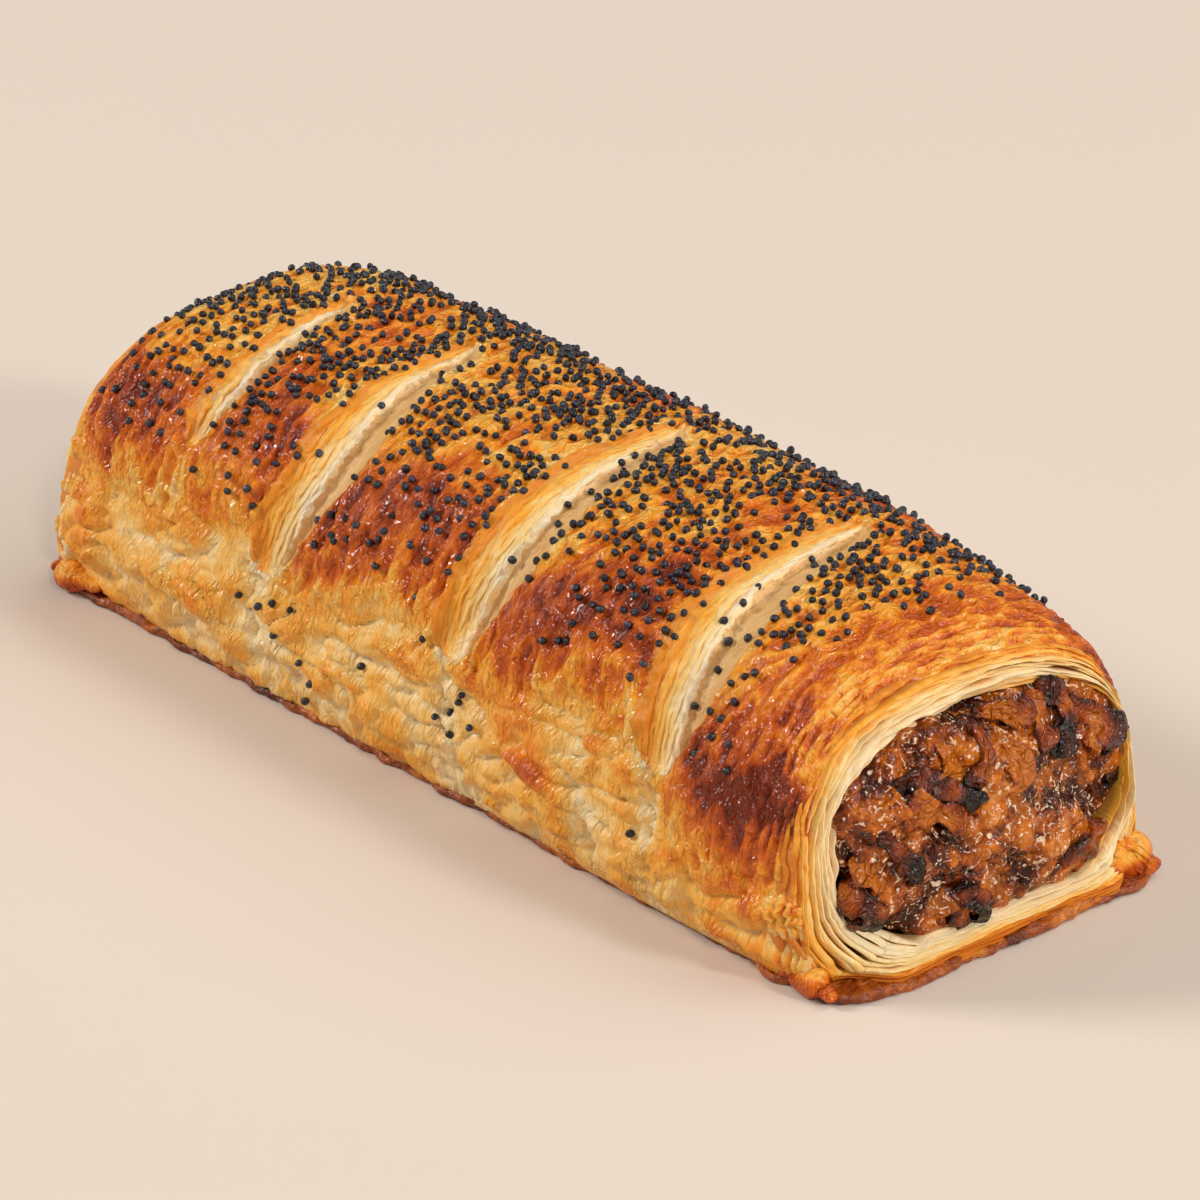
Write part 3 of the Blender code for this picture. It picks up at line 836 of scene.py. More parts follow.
def end_leaf(side, order):
    """One leaf of an end, a thin ring whose free edge stands out of the end face."""
    seed = 300 + 60 * (side > 0) + order
    tier = order / (END_LEAVES - 1)
    loop_length = 2.0 * arcs[-1] - arcs[-2]
    arc = np.linspace(0.0, loop_length, END_COLUMNS, endpoint=False)
    angle = np.interp(arc, np.append(arcs, loop_length), np.append(angles, 360.0 - FOOT_ANGLE))
    circle = 2.0 * np.pi * np.arange(END_COLUMNS) / END_COLUMNS

    def ring_noise(waves, salt, height=5.3 * order):
        """Noise round the ring without a seam, at about so many waves a turn."""
        places = np.stack([waves / 6.0 * np.cos(circle), waves / 6.0 * np.sin(circle),
                           np.full(END_COLUMNS, height)], axis=-1)
        return swirl(places, 700 + 10 * (side > 0) + salt)

    rim = sleeve_point(np.full(END_COLUMNS, float(side)), angle, 0.0003)
    inner_y, inner_z = meat_outline(rim[:, 1] + (END_SHIFT if side > 0 else 0.0), rim[:, 2], 0.0)
    foot = BAND_FOOT + 0.0005 * ring_noise(20.0, 9, 0.0)
    inner_z = np.maximum(inner_z, foot)
    gap = np.hypot(inner_y - rim[:, 1], inner_z - rim[:, 2])
    share = tier + 0.060 * ring_noise(13.0, 0, 0.35 * order) + 0.048 * ring_noise(10.0, 1)
    share = share + 0.032 * ring_noise(36.0, 2) + 0.014 * ring_noise(90.0, 3)
    share = np.clip(share, -0.02, 1.0)
    dice = np.random.default_rng(seed)
    thickness = gap / (END_LEAVES - 1) * (0.60 + 0.7 * dice.random() + 0.45 * ring_noise(24.0, 8))
    bevel = np.clip(1.0 - (share * gap + 0.0003) / BEVEL_DEPTH, 0.0, 1.0)
    out = 0.0009 - BEVEL_LENGTH * (1.0 - np.sqrt(1.0 - bevel ** 2)) - 0.0007 * dice.random()
    out = out + 0.00080 * ring_noise(12.0, 4) + 0.00050 * ring_noise(31.0, 5)
    out = out + 0.00020 * ring_noise(84.0, 6)
    leaf, row, column = lay_sheet("end_leaf", END_COLUMNS, len(END_PROFILE))
    row = row % END_COLUMNS
    profile = np.array(END_PROFILE)[column % len(END_PROFILE)]
    radial = np.stack([inner_y - rim[:, 1], inner_z - rim[:, 2]], axis=-1) / gap[:, None]
    offset = (share * gap)[row] + profile[:, 1] * thickness[row]
    y = rim[row, 1] + radial[row, 0] * offset
    z = rim[row, 2] + radial[row, 1] * offset
    reach = side * cut_x(side, y, z) + out[row]
    apron = LENGTH / 2 - 0.0002 - 0.0045 * smoothstep(0.017, 0.027, np.abs(y)) - 0.0022 * share[row]
    corner = smoothstep(0.018, 0.024, np.abs(y)) * smoothstep(0.5, 0.1, share[row])
    spread = smoothstep(0.0080, 0.0036, z) * (1.0 - corner)
    reach = reach + np.maximum(apron + 0.5 * (out[row] - out.mean()) - reach, 0.0) * spread
    x = side * (reach + profile[:, 0] * END_LEAF_DEPTH)
    paint(leaf, "tier", share[row] - 0.40 * smoothstep(0.0026, 0.0014, z))
    far_side = smoothstep(60.0, 120.0, angle) * smoothstep(240.0, 200.0, angle)
    paint(leaf, "soaked", (smoothstep(0.80, 0.92, share) * far_side)[row])
    paint(leaf, "tip", 1.0 + profile[:, 0])
    map_skin(leaf, offset + out[row], arc[row] + 0.01 * order)
    close_sheet(leaf, np.stack([x, y, z], axis=-1), 50.0)
    return leaf


end_material, tree, shader = new_material(
    "end_leaf_pastry", 0.42, Specular_IOR_Level=0.4, **LEAF_SOFTNESS)
skin = read(tree, "skin_map", "Vector")
streaks = grain(tree, skin, 1.0, 4.0, 0.8, (3.4, 0.30, 1.0))
mottle = grain(tree, skin, 0.20)
tone = weigh(tree, -0.52, (1.0, read(tree, "tier")), (0.60, streaks), (0.40, mottle))
leaf_color = add_ramp(tree, ((0.00, (0.70, 0.20, 0.012)), (0.14, (0.94, 0.38, 0.03)),
                             (0.30, (1.00, 0.57, 0.12)), (0.48, (1.00, 0.73, 0.32)),
                             (0.75, (1.00, 0.80, 0.48)), (1.00, (1.00, 0.74, 0.43))), tone)
leaf_color = mix_color(tree, read(tree, "soaked"), leaf_color, (0.92, 0.46, 0.05))
# Painted shade: the leaves darken back from their free edges, between one another.
leaf_color = paint_leaf_shade(tree, leaf_color, (0.62, 0.24, 0.04), 0.7, 0.90, 0.55)
tree.links.new(leaf_color, shader.inputs["Base Color"])
bump(tree, shader, streaks, 0.00025, 0.8)

for side, name in ((1, "front_end_leaves"), (-1, "back_end_leaves")):
    end_leaves = join_pieces([end_leaf(side, order) for order in range(END_LEAVES)], name)
    end_leaves.data.materials.append(end_material)
    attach(end_leaves, "root")

# ------------------------------------------------------------------ corner folds
# At the foot of each end the sleeve and the base sheet were pinched together, which left small
# crumpled folds of pastry at the corners. They are balls pressed out of shape.
CORNER_FOLDS = (    # middle, half sizes and turn about z: all in mm and degrees
    ((71.5, -27.0, 1.8), (3.0, 1.2, 1.3), 10), ((73.4, -26.2, 1.4), (3.8, 1.3, 0.8), -14),
    ((76.8, 22.2, 2.9), (1.4, 3.7, 2.3), 8), ((76.8, 25.0, 1.7), (1.9, 1.9, 0.9), 20),
    ((-77.2, -24.2, 1.8), (1.4, 2.4, 1.1), 10), ((-76.6, 23.8, 2.4), (2.2, 2.8, 1.6), -12),
    ((-71.0, -26.6, 2.2), (4.4, 1.7, 1.4), 0),
)


def corner_fold(number, middle, half_sizes, turn):
    """One crumpled fold."""
    bpy.ops.object.select_all(action="DESELECT")
    bpy.ops.mesh.primitive_ico_sphere_add(subdivisions=5, radius=1.0, location=(0.0, 0.0, 0.0))
    fold = bpy.context.object
    ball = np.array([vertex.co for vertex in fold.data.vertices])
    places = ball * np.array(half_sizes) * 0.001
    crumple = 0.0012 * swirl(places / 0.0040 + number, 51) + 0.0004 * ridges(places / 0.0034 + number, 52)
    crumple = crumple + 0.00008 * swirl(places / 0.0010, 53)
    places = places + ball * crumple[:, None]
    turn = math.radians(turn)
    x = places[:, 0] * math.cos(turn) - places[:, 1] * math.sin(turn) + middle[0] * 0.001
    y = places[:, 0] * math.sin(turn) + places[:, 1] * math.cos(turn) + middle[1] * 0.001
    z = np.maximum(places[:, 2] + middle[2] * 0.001, 0.0004)
    paint(fold, "bake_and_shade", 0.38 + 0.44 * smoothstep(0.0040, 0.0016, z) + 0.24 * swirl(places / 0.0030, 54))
    paint(fold, "gloss", np.full(len(ball), 0.9))
    map_skin(fold, x, y + z)
    close_sheet(fold, np.stack([x, y, z], axis=-1))
    return fold


corner_folds = join_pieces([corner_fold(number, *fold) for number, fold in enumerate(CORNER_FOLDS)],
                           "corner_folds")
corner_folds.data.materials.append(crust_material)
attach(corner_folds, "root")

# ------------------------------------------------------------------ sausage meat
# A log of coarse minced pork, baked inside the pastry. It swells out of both cut ends in a lumpy
# dome that browned and stayed wet with fat. A closed grid runs over both domes and the log.
MEAT_STEP = 0.0008
MEAT_DOMES = {1: 0.0044, -1: 0.0020}
MEAT_DROOP = {1: 0.0030, -1: 0.0006}    # the front dome sinks behind the rim on its +Y side
MEAT_LUMP_HEIGHT = 0.00220
MEAT_FOLD_HEIGHT = 0.00120
MINCE_HEIGHT = 0.00036
MINCE_GRAIN_HEIGHT = 0.00004
PIT_DEPTH = 0.00050
LUMP_SINK = 0.0007        # brings the lumps' mean level back to the smooth dome
DOME_ROWS = 110
LOG_ROWS = 5
MEAT_COLUMNS = 340


def meat_place(side, reach, turn):
    """A point of an end's smooth dome: reach is 0 at its middle and 1 at its edge."""
    outline_y, outline_z = meat_outline(np.cos(turn), MEAT_MIDDLE + np.sin(turn), 0.0)
    y = outline_y * reach
    z = MEAT_MIDDLE + (outline_z - MEAT_MIDDLE) * reach
    swell = MEAT_STEP + MEAT_DOMES[side] * np.sqrt(np.maximum(1.0 - reach ** 2, 0.0))
    swell = swell - MEAT_DROOP[side] * smoothstep(0.10, 0.95, y / MEAT_HALF_WIDTH)
    return np.stack([cut_x(side, y, z) + side * swell, y, z], axis=-1)


def meat_lumps(places):
    """How far the mince stands out of its smooth dome."""
    bend = np.stack([swirl(places / 0.006 + shift, 61) for shift in (0.0, 17.0, 31.0)], axis=-1) * 0.0012
    big = swirl((places + bend) / 0.0085, 62)
    folds = np.abs(swirl((places + bend) / 0.0040, 63))
    mince = smoothstep(0.75, 0.1, pebbles((places + bend * 0.6) / 0.0026, 64))
    pit = smoothstep(0.32, 0.10, pebbles(places / 0.0024 + 5.0, 66))
    crumb = swirl(places / 0.0010, 65)
    return (MEAT_LUMP_HEIGHT * big + MEAT_FOLD_HEIGHT * folds + MINCE_HEIGHT * mince
            + MINCE_GRAIN_HEIGHT * crumb - PIT_DEPTH * pit - LUMP_SINK)


turns = 2.0 * np.pi * np.arange(MEAT_COLUMNS) / MEAT_COLUMNS
reaches = np.sin(0.5 * np.pi * np.linspace(0.0, 1.0, DOME_ROWS + 1)) ** 0.9
front_dome = [meat_place(1, np.full_like(turns, reach), turns) for reach in reaches]
back_dome = [meat_place(-1, np.full_like(turns, reach), turns) for reach in reaches]
log = [front_dome[-1] * (1.0 - share) + back_dome[-1] * share
       for share in np.linspace(0.0, 1.0, LOG_ROWS + 2)[1:-1]]
meat_grid = np.stack(front_dome + log + back_dome[::-1])
meat_normals = np.cross(np.gradient(meat_grid, axis=0),
                        np.roll(meat_grid, -1, axis=1) - np.roll(meat_grid, 1, axis=1))
meat_normals[0], meat_normals[-1] = (1.0, 0.0, 0.0), (-1.0, 0.0, 0.0)
meat_normals = unit(meat_normals)
lump = meat_lumps(meat_grid)
lump[0], lump[-1] = lump[0].mean(), lump[-1].mean()
lump[len(front_dome):-len(back_dome)] = -0.0002
meat_places = meat_grid + meat_normals * lump[..., None]
meat, row, column = lay_sheet("meat", len(meat_grid) - 1, MEAT_COLUMNS)
column = column % MEAT_COLUMNS
# The lumps' height in mm, which the mince's colour follows as painted shade in its crevices.
paint(meat, "lump", lump[row, column] * 1000.0)
close_sheet(meat, meat_places[row, column])

meat_material, tree, shader = new_material(
    "baked_mince", 0.2, Specular_IOR_Level=0.42, Subsurface_Radius=(1.0, 0.3, 0.12),
    Subsurface_Scale=0.0010, Subsurface_Weight=0.10)
spot = add_node(tree, "ShaderNodeTexCoord").outputs["Object"]
coarse = grain(tree, spot, 150.0, 4.0, 0.8)
mince = grain(tree, spot, 480.0, 4.0, 0.8)
fine = grain(tree, spot, 1500.0, 3.0, 0.5)
# Painted shade: the tone follows the lumps' height too, so the crevices between them are darker.
tone = weigh(tree, -1.06, (1.6, coarse), (0.98, mince), (0.30, fine), (0.20, read(tree, "lump")))
meat_color = add_ramp(tree, ((0.14, (0.040, 0.005, 0.001)), (0.36, (0.20, 0.030, 0.002)),
                             (0.50, (0.42, 0.085, 0.002)), (0.66, (0.60, 0.15, 0.004)),
                             (0.92, (0.74, 0.28, 0.06))), tone)
# Pale specks: bits of fat, and painted glints that make the mince look wet.
fat_and_glints = rise(tree, grain(tree, spot, 1000.0, 1.5, 1.6), 0.59, 0.66)
amber = rise(tree, grain(tree, spot, 210.0, 3.0, 0.4), 0.52, 0.64)
meat_color = mix_color(tree, calculate(tree, "MULTIPLY", amber, 0.60), meat_color, (0.58, 0.15, 0.004))
meat_color = mix_color(tree, calculate(tree, "MULTIPLY", fat_and_glints, 0.80), meat_color, (1.00, 0.74, 0.50))
tree.links.new(meat_color, shader.inputs["Base Color"])
tree.links.new(weigh(tree, 0.05, (0.16, mince)), shader.inputs["Roughness"])
lumpy = grain(tree, spot, 260.0, 1.0, 1.6)
grainy = grain(tree, spot, 800.0, 1.0, 1.0)
bump(tree, shader, weigh(tree, 0.0, (0.8, lumpy), (0.34, grainy)), 0.0017, 1.0)
meat.data.materials.append(meat_material)
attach(meat, "root")
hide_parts("filling")

# ------------------------------------------------------------------ onion
# Strips of fried onion and scraps of meat stand out of the cut mince. They are amber and glossy
# where they are moist, and their edges and tips have charred black. Each is a tube along a path.
ONION_STATIONS = 60
ONION_COLUMNS = 26
FRONT_ONIONS = (    # width, thickness, twist, char, and the path as (y, z, height over the mince) in mm
    (3.2, 1.6, 0.3, 0.62, ((8.2, 29.8, -0.6), (10.6, 28.4, 1.0), (11.4, 25.8, 1.5),
     (9.6, 23.8, 1.3), (7.4, 23.4, 0.2))),
    (2.8, 1.3, -0.4, 0.30, ((7.6, 29.6, -0.8), (6.6, 27.6, 0.5), (6.6, 25.2, 0.7), (7.8, 23.4, 0.4))),
    (3.8, 1.9, 0.2, 0.42, ((12.2, 25.8, -0.6), (14.6, 25.2, 1.0), (17.0, 23.4, 1.3),
     (19.0, 20.4, 1.3), (18.8, 17.6, 0.3))),
    (3.4, 1.6, -0.3, 0.10, ((14.6, 22.6, -0.2), (16.6, 21.0, 0.9), (17.2, 18.8, 0.8),
     (15.6, 18.2, -0.2))),
    (2.6, 1.7, 0.0, 0.60, ((20.6, 14.8, -0.6), (22.2, 12.8, 0.7), (22.0, 10.6, -0.4))),
    (3.0, 1.6, 0.5, 0.62, ((-16.8, 25.0, -0.6), (-12.8, 25.0, 0.9), (-9.4, 23.6, 1.4),
     (-6.4, 21.6, 1.6), (-4.4, 20.0, 0.7))),
    (4.2, 1.5, -0.2, 0.00, ((-15.6, 22.4, -0.4), (-12.4, 21.4, 0.5), (-9.2, 20.2, 0.8),
     (-6.2, 19.4, 0.3))),
    (2.2, 1.5, 0.6, 0.40, ((-4.4, 30.0, -0.5), (-3.2, 28.2, 0.8), (-3.5, 25.8, 1.2),
     (-5.0, 23.6, 1.1), (-6.0, 21.4, 0.0))),
    (4.4, 1.4, 0.0, -0.10, ((-8.0, 29.4, -0.6), (-7.2, 26.8, 0.3), (-7.6, 24.4, 0.5),
     (-8.6, 22.6, -0.2))),
    (3.8, 2.2, 0.2, 0.30, ((9.4, 6.4, -0.4), (12.2, 7.9, 1.0), (15.4, 8.2, 1.4),
     (18.6, 6.2, 1.0), (19.6, 4.4, -0.3))),
    (3.2, 1.8, 0.0, 0.55, ((12.2, 4.8, -0.4), (15.0, 4.8, 0.7), (17.6, 4.4, 0.2))),
    (2.8, 1.7, 0.3, 0.62, ((-8.4, 8.8, -0.6), (-6.2, 8.4, 0.8), (-3.8, 6.4, 1.2),
     (-3.6, 4.2, 1.0), (-5.2, 2.8, -0.2))),
    (3.0, 1.6, 0.0, 0.25, ((-7.6, 6.6, -0.4), (-6.4, 5.0, 0.7), (-5.8, 3.4, 0.2))),
    (4.0, 1.9, 0.1, 0.40, ((-22.4, 11.4, -0.8), (-20.4, 11.0, 0.5), (-19.2, 8.6, 0.8),
     (-20.4, 6.4, -0.2))),
    (2.6, 1.5, 0.4, 0.45, ((-18.2, 20.4, -0.6), (-16.8, 17.8, 0.5), (-14.8, 15.0, 0.9),
     (-13.0, 12.4, 0.5))),
    (3.0, 1.4, 0.2, 0.00, ((-2.0, 30.0, -0.5), (1.2, 29.6, 0.6), (4.4, 28.4, 0.8), (6.0, 26.8, -0.2))),
    (3.4, 1.2, 0.1, -0.10, ((0.0, 26.4, -0.4), (1.6, 24.0, 0.4), (1.2, 21.4, 0.4), (-0.6, 19.8, -0.3))),
    (3.0, 1.4, 0.2, 0.10, ((-21.4, 16.8, -0.4), (-19.6, 14.6, 0.5), (-18.6, 12.6, 0.2))),
)
BACK_ONIONS = (
    (3.0, 1.5, 0.3, 0.55, ((-9.0, 28.6, -0.6), (-11.2, 26.0, 0.8), (-9.6, 23.0, 0.9),
     (-6.8, 22.0, 0.0))),
    (3.4, 1.4, -0.3, 0.25, ((10.0, 27.6, -0.6), (12.0, 24.4, 0.9), (9.6, 21.8, 0.8),
     (6.6, 22.6, -0.2))),
    (2.8, 1.5, 0.2, 0.60, ((19.0, 16.0, -0.6), (17.4, 13.2, 0.7), (18.2, 10.0, 0.6),
     (20.0, 8.4, -0.4))),
    (3.2, 1.4, 0.0, 0.35, ((-20.0, 14.0, -0.6), (-17.0, 12.6, 0.8), (-15.6, 9.8, 0.8),
     (-17.0, 7.4, -0.2))),
    (3.0, 1.4, 0.4, 0.15, ((2.0, 8.6, -0.4), (5.4, 7.4, 0.8), (8.6, 8.4, 0.9), (11.0, 7.0, -0.2))),
    (2.6, 1.2, 0.2, 0.00, ((-4.6, 17.4, -0.4), (-1.6, 18.2, 0.7), (1.4, 16.6, 0.8), (3.6, 17.6, -0.2))),
)


def smooth_path(points, count):
    """A smooth curve through the points, as count evenly spread places."""
    knots = np.array([points[0]] + list(points) + [points[-1]], float)
    travel = np.linspace(0.0, len(points) - 1.0001, count)
    base = travel.astype(int)
    part = (travel - base)[:, None]
    a, b, c, d = (knots[base + step] for step in range(4))
    return 0.5 * (2.0 * b + (c - a) * part + (2.0 * a - 5.0 * b + 4.0 * c - d) * part ** 2
                  + (3.0 * b - a - 3.0 * c + d) * part ** 3)


def face_place(side, y, z):
    """The mince's own surface at y and z of an end, and its lumps."""
    outline_y, outline_z = meat_outline(y, z, 0.0)
    reach = np.hypot(y, z - MEAT_MIDDLE) / np.maximum(np.hypot(outline_y, outline_z - MEAT_MIDDLE), 1e-6)
    place = meat_place(side, np.minimum(reach, 1.0), np.arctan2(z - MEAT_MIDDLE, y))
    place[:, 1], place[:, 2] = y, z
    place[:, 0] += side * np.maximum(meat_lumps(place), -0.0002)
    return place


def onion_strip(side, number, width, thickness, twist, char, path):
    """A curled strip on the mince, round in section and thin at both ends."""
    seed = 500 + 40 * (side > 0) + number
    curve = smooth_path(path, ONION_STATIONS + 1) * 0.001
    spine = face_place(side, curve[:, 0], curve[:, 1])
    spine[:, 0] += side * (curve[:, 2] * 0.8 - 0.0004)
    heading = unit(np.gradient(spine, axis=0))
    outward = unit(np.array([side, 0.0, 0.0]) - heading * (heading[:, :1] * side))
    across = np.cross(heading, outward)
    share = np.linspace(0.0, 1.0, ONION_STATIONS + 1)
    roll = (twist * np.sin(np.pi * share * 2.0 + number))[:, None]
    across, outward = (across * np.cos(roll) + outward * np.sin(roll),
                       outward * np.cos(roll) - across * np.sin(roll))
    body = np.minimum(1.0, np.minimum(share, 1.0 - share) / 0.2)
    body = np.sqrt(np.maximum(1.0 - (1.0 - body) ** 2, 0.0)) * (1.0 + 0.25 * np.sin(9.0 * share + number))
    strip, row, column = lay_sheet("onion", ONION_STATIONS, ONION_COLUMNS)
    turn = 2.0 * np.pi * (column % ONION_COLUMNS) / ONION_COLUMNS
    uneven = 1.0 + 0.35 * swirl(at(share[row], 0.0 * turn, 0.22, 1.0, number), seed + 3)
    wide = 0.0005 * width * uneven * signed_power(np.cos(turn), 0.9)
    thick = 0.0005 * thickness * signed_power(np.sin(turn), 0.8)
    thick = thick + 0.00014 * width * (np.cos(turn) ** 2 - 0.5)
    places = spine[row] + (across[row] * wide[:, None] + outward[row] * thick[:, None]) * body[row][:, None]
    outwards = across[row] * np.cos(turn)[:, None] + outward[row] * np.sin(turn)[:, None]
    rough = 0.00034 * swirl(places / 0.0018, seed) + 0.00016 * swirl(places / 0.0007, seed + 1)
    places = places + outwards * (rough * body[row])[:, None]
    burnt = char - 0.30 + 0.22 * np.abs(np.cos(turn)) ** 4
    burnt = burnt + 0.5 * np.abs(2.0 * share[row] - 0.8) + 0.60 * swirl(places / 0.0034, seed + 2)
    paint(strip, "char", burnt)
    close_sheet(strip, places)
    return strip


onion_material, tree, shader = new_material(
    "fried_onion", 0.12, Specular_IOR_Level=0.55, Subsurface_Radius=(1.0, 0.35, 0.08),
    Subsurface_Scale=0.0014, Subsurface_Weight=0.15)
spot = add_node(tree, "ShaderNodeTexCoord").outputs["Object"]
fibre = grain(tree, spot, 800.0, 4.0, 0.8)
tone = weigh(tree, -0.10, (0.5, fibre), (1.0, read(tree, "char")))
onion_color = add_ramp(tree, ((0.05, (0.54, 0.135, 0.004)), (0.32, (0.32, 0.050, 0.002)),
                              (0.56, (0.11, 0.013, 0.002)), (0.82, (0.010, 0.005, 0.003))), tone)
tree.links.new(onion_color, shader.inputs["Base Color"])
wet = grain(tree, spot, 560.0, 1.0, 1.6)
bump(tree, shader, wet, 0.0016, 1.0)
for side, name, strips in ((1, "front_onion", FRONT_ONIONS), (-1, "back_onion", BACK_ONIONS)):
    onion = join_pieces([onion_strip(side, number, *strip) for number, strip in enumerate(strips)], name)
    onion.data.materials.append(onion_material)
    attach(onion, "root")

# ------------------------------------------------------------------ base sheet
# The pastry's under layer, which fried in its own fat on the tray: a thin crisp sheet whose dark,
# crimped edge stands out all round the foot. Rings run over its top, round its lip and back below.
SHEET_THICKNESS = 0.0013
SHEET_HALF_WIDTH = 0.0268
SHEET_CORNER = 0.0065
SHEET_STATIONS = 900
TOP_SCALES = (0.0, 0.4, 0.75)
TOP_INSETS = (0.0064, 0.0045, 0.0032, 0.0022, 0.0014, 0.0008, 0.0004)
LIP_TURNS = np.radians([64.0, 40.0, 18.0, 0.0, -22.0, -46.0, -70.0])
UNDER_INSETS = (0.0006, 0.0016, 0.0032, 0.0064)


def sheet_walk():
    """Stations round the sheet: a place on the rectangle inside its round corners, and the way out."""
    reach_x = LENGTH / 2 - SHEET_CORNER
    reach_y = SHEET_HALF_WIDTH - SHEET_CORNER
    bend = 0.5 * np.pi * SHEET_CORNER
    quarter = reach_x + reach_y + bend
    walked = (np.arange(SHEET_STATIONS) + 0.5) / SHEET_STATIONS * 4.0 * quarter
    leg = (walked // quarter).astype(int)
    part = np.where(leg % 2 == 0, walked % quarter, quarter - walked % quarter)
    turn = np.clip((part - reach_y) / SHEET_CORNER, 0.0, 0.5 * np.pi)
    inner = np.stack([reach_x - np.clip(part - reach_y - bend, 0.0, reach_x),
                      np.clip(part, 0.0, reach_y)], axis=-1)
    signs = np.array([(1, 1), (-1, 1), (-1, -1), (1, -1)])[leg]
    return inner * signs, np.stack([np.cos(turn), np.sin(turn)], axis=-1) * signs


def sheet_rings():
    """The sheet's rings: over its top from the middle outwards, round its lip, and back under it."""
    inner, away = sheet_walk()
    edge = inner + away * SHEET_CORNER
    where = np.column_stack([edge, np.zeros(SHEET_STATIONS)])
    crimp = 0.0007 * swirl(where / 0.009, 71) + 0.0005 * swirl(where / 0.0034, 72)
    crimp += 0.0002 * swirl(where / 0.0013, 73) + 0.0012 * smoothstep(0.35, 0.7, swirl(where / 0.012, 79))
    crimp = np.where(np.abs(edge[:, 0]) > LENGTH / 2 - 0.001, np.minimum(crimp, 0.0004), crimp)
    thick = SHEET_THICKNESS * (1.0 + 0.30 * swirl(where / 0.006, 74) + 0.20 * swirl(where / 0.002, 75))
    rings = []
    for scale in TOP_SCALES:
        rings.append(np.column_stack([inner * scale, np.full(SHEET_STATIONS, SHEET_THICKNESS * 0.75)]))
    for inset in TOP_INSETS:
        place = edge + away * (crimp * smoothstep(0.004, 0.0, inset) - inset)[:, None]
        bumps = 0.0004 * swirl(np.column_stack([place, np.full(SHEET_STATIONS, inset)]) / 0.0022, 76)
        rings.append(np.column_stack([place, thick + bumps * smoothstep(0.006, 0.002, inset)]))
    for turn in LIP_TURNS:
        ridge = 0.0002 * swirl(where / 0.0011 + 3.0 * turn, 77)
        out = crimp + ridge + 0.0007 * (np.cos(turn) - 0.7)
        rings.append(np.column_stack([edge + away * out[:, None], thick * (0.5 + 0.5 * np.sin(turn))]))
    for inset in UNDER_INSETS:
        place = edge + away * (crimp * smoothstep(0.004, 0.0, inset) - inset)[:, None]
        rings.append(np.column_stack([place, np.full(SHEET_STATIONS, 0.0)]))
    for scale in TOP_SCALES[::-1]:
        rings.append(np.column_stack([inner * scale, np.full(SHEET_STATIONS, 0.0)]))
    return np.stack(rings)


rings = sheet_rings()
base_sheet, row, column = lay_sheet("base_sheet", len(rings) - 1, SHEET_STATIONS)
close_sheet(base_sheet, rings[row, column % SHEET_STATIONS], 70.0)

sheet_material, tree, shader = new_material("fried_base", 0.24, Specular_IOR_Level=0.5)
spot = add_node(tree, "ShaderNodeTexCoord").outputs["Object"]
broad = grain(tree, spot, 130.0, 4.0, 0.5)
fine = grain(tree, spot, 900.0, 4.0, 0.6)
tone = weigh(tree, -0.20, (0.5, fine), (1.1, broad))
base_color = add_ramp(tree, ((0.30, (0.060, 0.009, 0.002)), (0.50, (0.21, 0.036, 0.003)),
                             (0.70, (0.46, 0.10, 0.007)), (0.90, (0.78, 0.28, 0.04))), tone)
tree.links.new(base_color, shader.inputs["Base Color"])
bump(tree, shader, fine, 0.0008, 0.9)
base_sheet.data.materials.append(sheet_material)
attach(base_sheet, "root")

# ------------------------------------------------------------------ poppy seeds
# Blue-black poppy seeds, sprinkled by hand on the egg wash. They lie thickest along the crest and
# thin out down the sides, and a few fell on the pale side. Copies of one modelled seed are joined.
SEED_RADIUS = 0.00053
SEED_COUNT = 1600
SEED_TRIES = 40000
STRAY_SEEDS = (    # x in mm and height in mm, on the -Y side
    (-32, 15), (-32, 13), (-28, 15), (-26, 16), (-23, 16), (-25, 12), (-20, 10), (-18, 8), (-8, 14),
    (4, 22), (11, 17), (11, 16), (6, 12), (8, 13), (14, 14), (9, 11), (44, 11), (-21, 4))


def seed_density(x, angle, arc):
    """How thick the seeds lie, 0 to 1."""
    across = smoothstep(20.0, 58.0, angle) * smoothstep(158.0, 120.0, angle)
    across = across * (0.40 + 0.60 * smoothstep(36.0, 70.0, angle))
    along = smoothstep(0.0665, 0.0520, x) * (0.30 + 0.70 * smoothstep(-0.076, -0.056, x))
    cluster = 0.50 + 0.80 * swirl(at(x, arc, 0.0085, 0.0110), 81)
    return across * along * np.clip(cluster, 0.04, 1.0)


def scatter_seeds():
    """Places and outward directions of the seeds on the finished crust."""
    dice = np.random.default_rng(7)
    chance = seed_density(grid_x[:skin_rows], grid_angle[:skin_rows], grid_arc[:skin_rows])
    bare = np.maximum(0.97 * skin_fields["lip"], 0.90 * skin_fields["floor"])[:skin_rows]
    area = np.abs(np.gradient(grid_x[:skin_rows], axis=0) * np.gradient(grid_arc[:skin_rows], axis=1))
    chance = (chance * (1.0 - bare)).ravel()
    weight = chance * area.ravel()
    places = crust_places[:skin_rows].reshape(-1, 3)
    normals = crust_normals[:skin_rows].reshape(-1, 3)
    found = np.zeros((SEED_COUNT, 3))
    picked = []
    for pick in dice.choice(weight.size, size=SEED_TRIES, p=weight / weight.sum()):
        apart = SEED_RADIUS * (1.8 + 1.6 * (1.0 - chance[pick]) * dice.random())
        reached = found[:len(picked)]
        if np.any(np.sum((reached - places[pick]) ** 2, axis=1) < apart ** 2):
            continue
        found[len(picked)] = places[pick]
        picked.append(pick)
        if len(picked) == SEED_COUNT:
            break
    for x, z in STRAY_SEEDS:
        row = np.argmin(np.abs(grid_x[:skin_rows, FOOT_COLUMNS] - x * 0.001))
        column = np.argmin(np.abs(grid_z[row, :column_count // 3] - z * 0.001))
        picked.append(row * column_count + column)
    return places[picked], normals[picked]


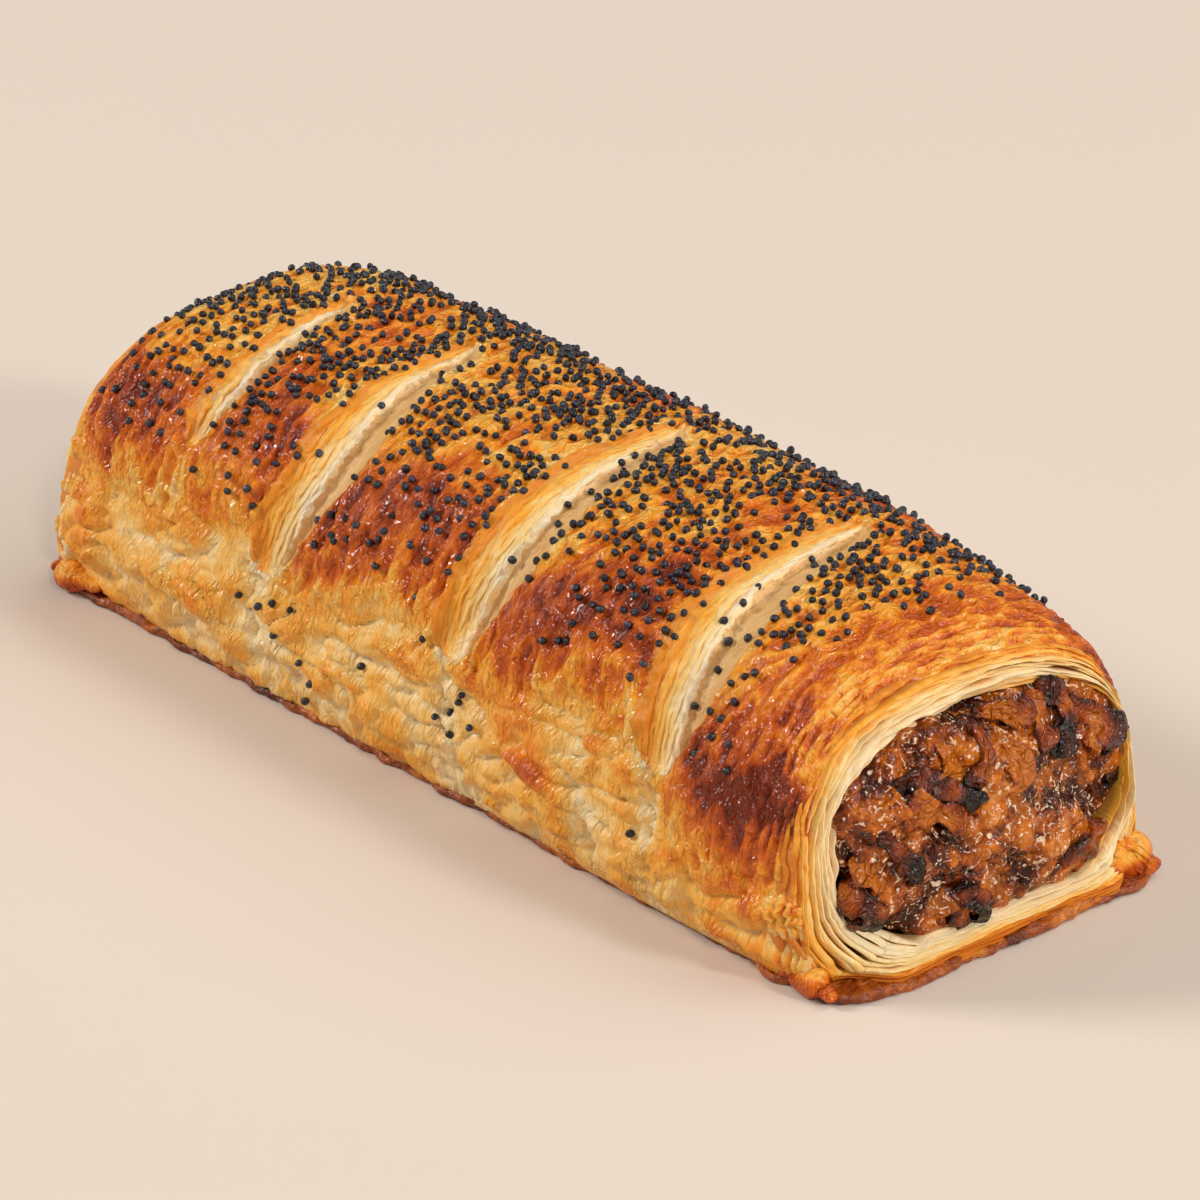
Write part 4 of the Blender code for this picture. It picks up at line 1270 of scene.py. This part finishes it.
def model_seed():
    """One poppy seed: a little kidney, a few dozen faces, which are sorted to be alike in each run."""
    bpy.ops.object.select_all(action="DESELECT")
    bpy.ops.mesh.primitive_uv_sphere_add(segments=9, ring_count=6, radius=SEED_RADIUS, location=(0, 0, 0))
    seed = bpy.context.object
    bpy.ops.object.mode_set(mode="EDIT")
    bpy.ops.mesh.select_all(action="SELECT")
    bpy.ops.transform.resize(value=(1.12, 0.94, 0.90))
    bpy.ops.object.mode_set(mode="OBJECT")
    shape = np.array([vertex.co for vertex in seed.data.vertices])
    faces = sorted(tuple(face.vertices) for face in seed.data.polygons)
    bpy.data.objects.remove(seed)
    return shape, faces


shape, faces = model_seed()
dice = np.random.default_rng(8)
seed_places = []
seed_faces = []
seed_tones = []
for number, (place, normal) in enumerate(zip(*scatter_seeds())):
    turn, _ = np.linalg.qr(dice.normal(size=(3, 3)))
    turn[:, 0] *= np.sign(np.linalg.det(turn))
    centre = place + normal * SEED_RADIUS * (0.35 + 0.5 * dice.random())
    seed_places.append(shape @ turn.T * (0.88 + 0.22 * dice.random()) + centre)
    seed_faces += [tuple(number * len(shape) + index for index in face) for face in faces]
    seed_tones.append(np.full(len(shape), dice.random()))
seed_mesh = bpy.data.meshes.new("poppy_seeds")
seed_mesh.from_pydata(np.concatenate(seed_places).tolist(), [], seed_faces)
seeds = bpy.data.objects.new("poppy_seeds", seed_mesh)
bpy.context.collection.objects.link(seeds)
paint(seeds, "tone", np.concatenate(seed_tones))
select_only(seeds)
bpy.ops.object.shade_smooth_by_angle(angle=math.radians(70.0))

seed_material, tree, shader = new_material("poppy_seed_coat", 0.25, Specular_IOR_Level=0.55)
spot = add_node(tree, "ShaderNodeTexCoord").outputs["Object"]
dimple = grain(tree, spot, 2600.0, 2.0)
tone = weigh(tree, 0.0, (0.5, dimple), (0.6, read(tree, "tone")))
seed_color = add_ramp(tree, ((0.2, (0.005, 0.005, 0.009)), (0.6, (0.010, 0.012, 0.023)),
                             (0.95, (0.028, 0.032, 0.055))), tone)
tree.links.new(seed_color, shader.inputs["Base Color"])
bump(tree, shader, dimple, 0.0003, 0.8)
seeds.data.materials.append(seed_material)
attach(seeds, "root")
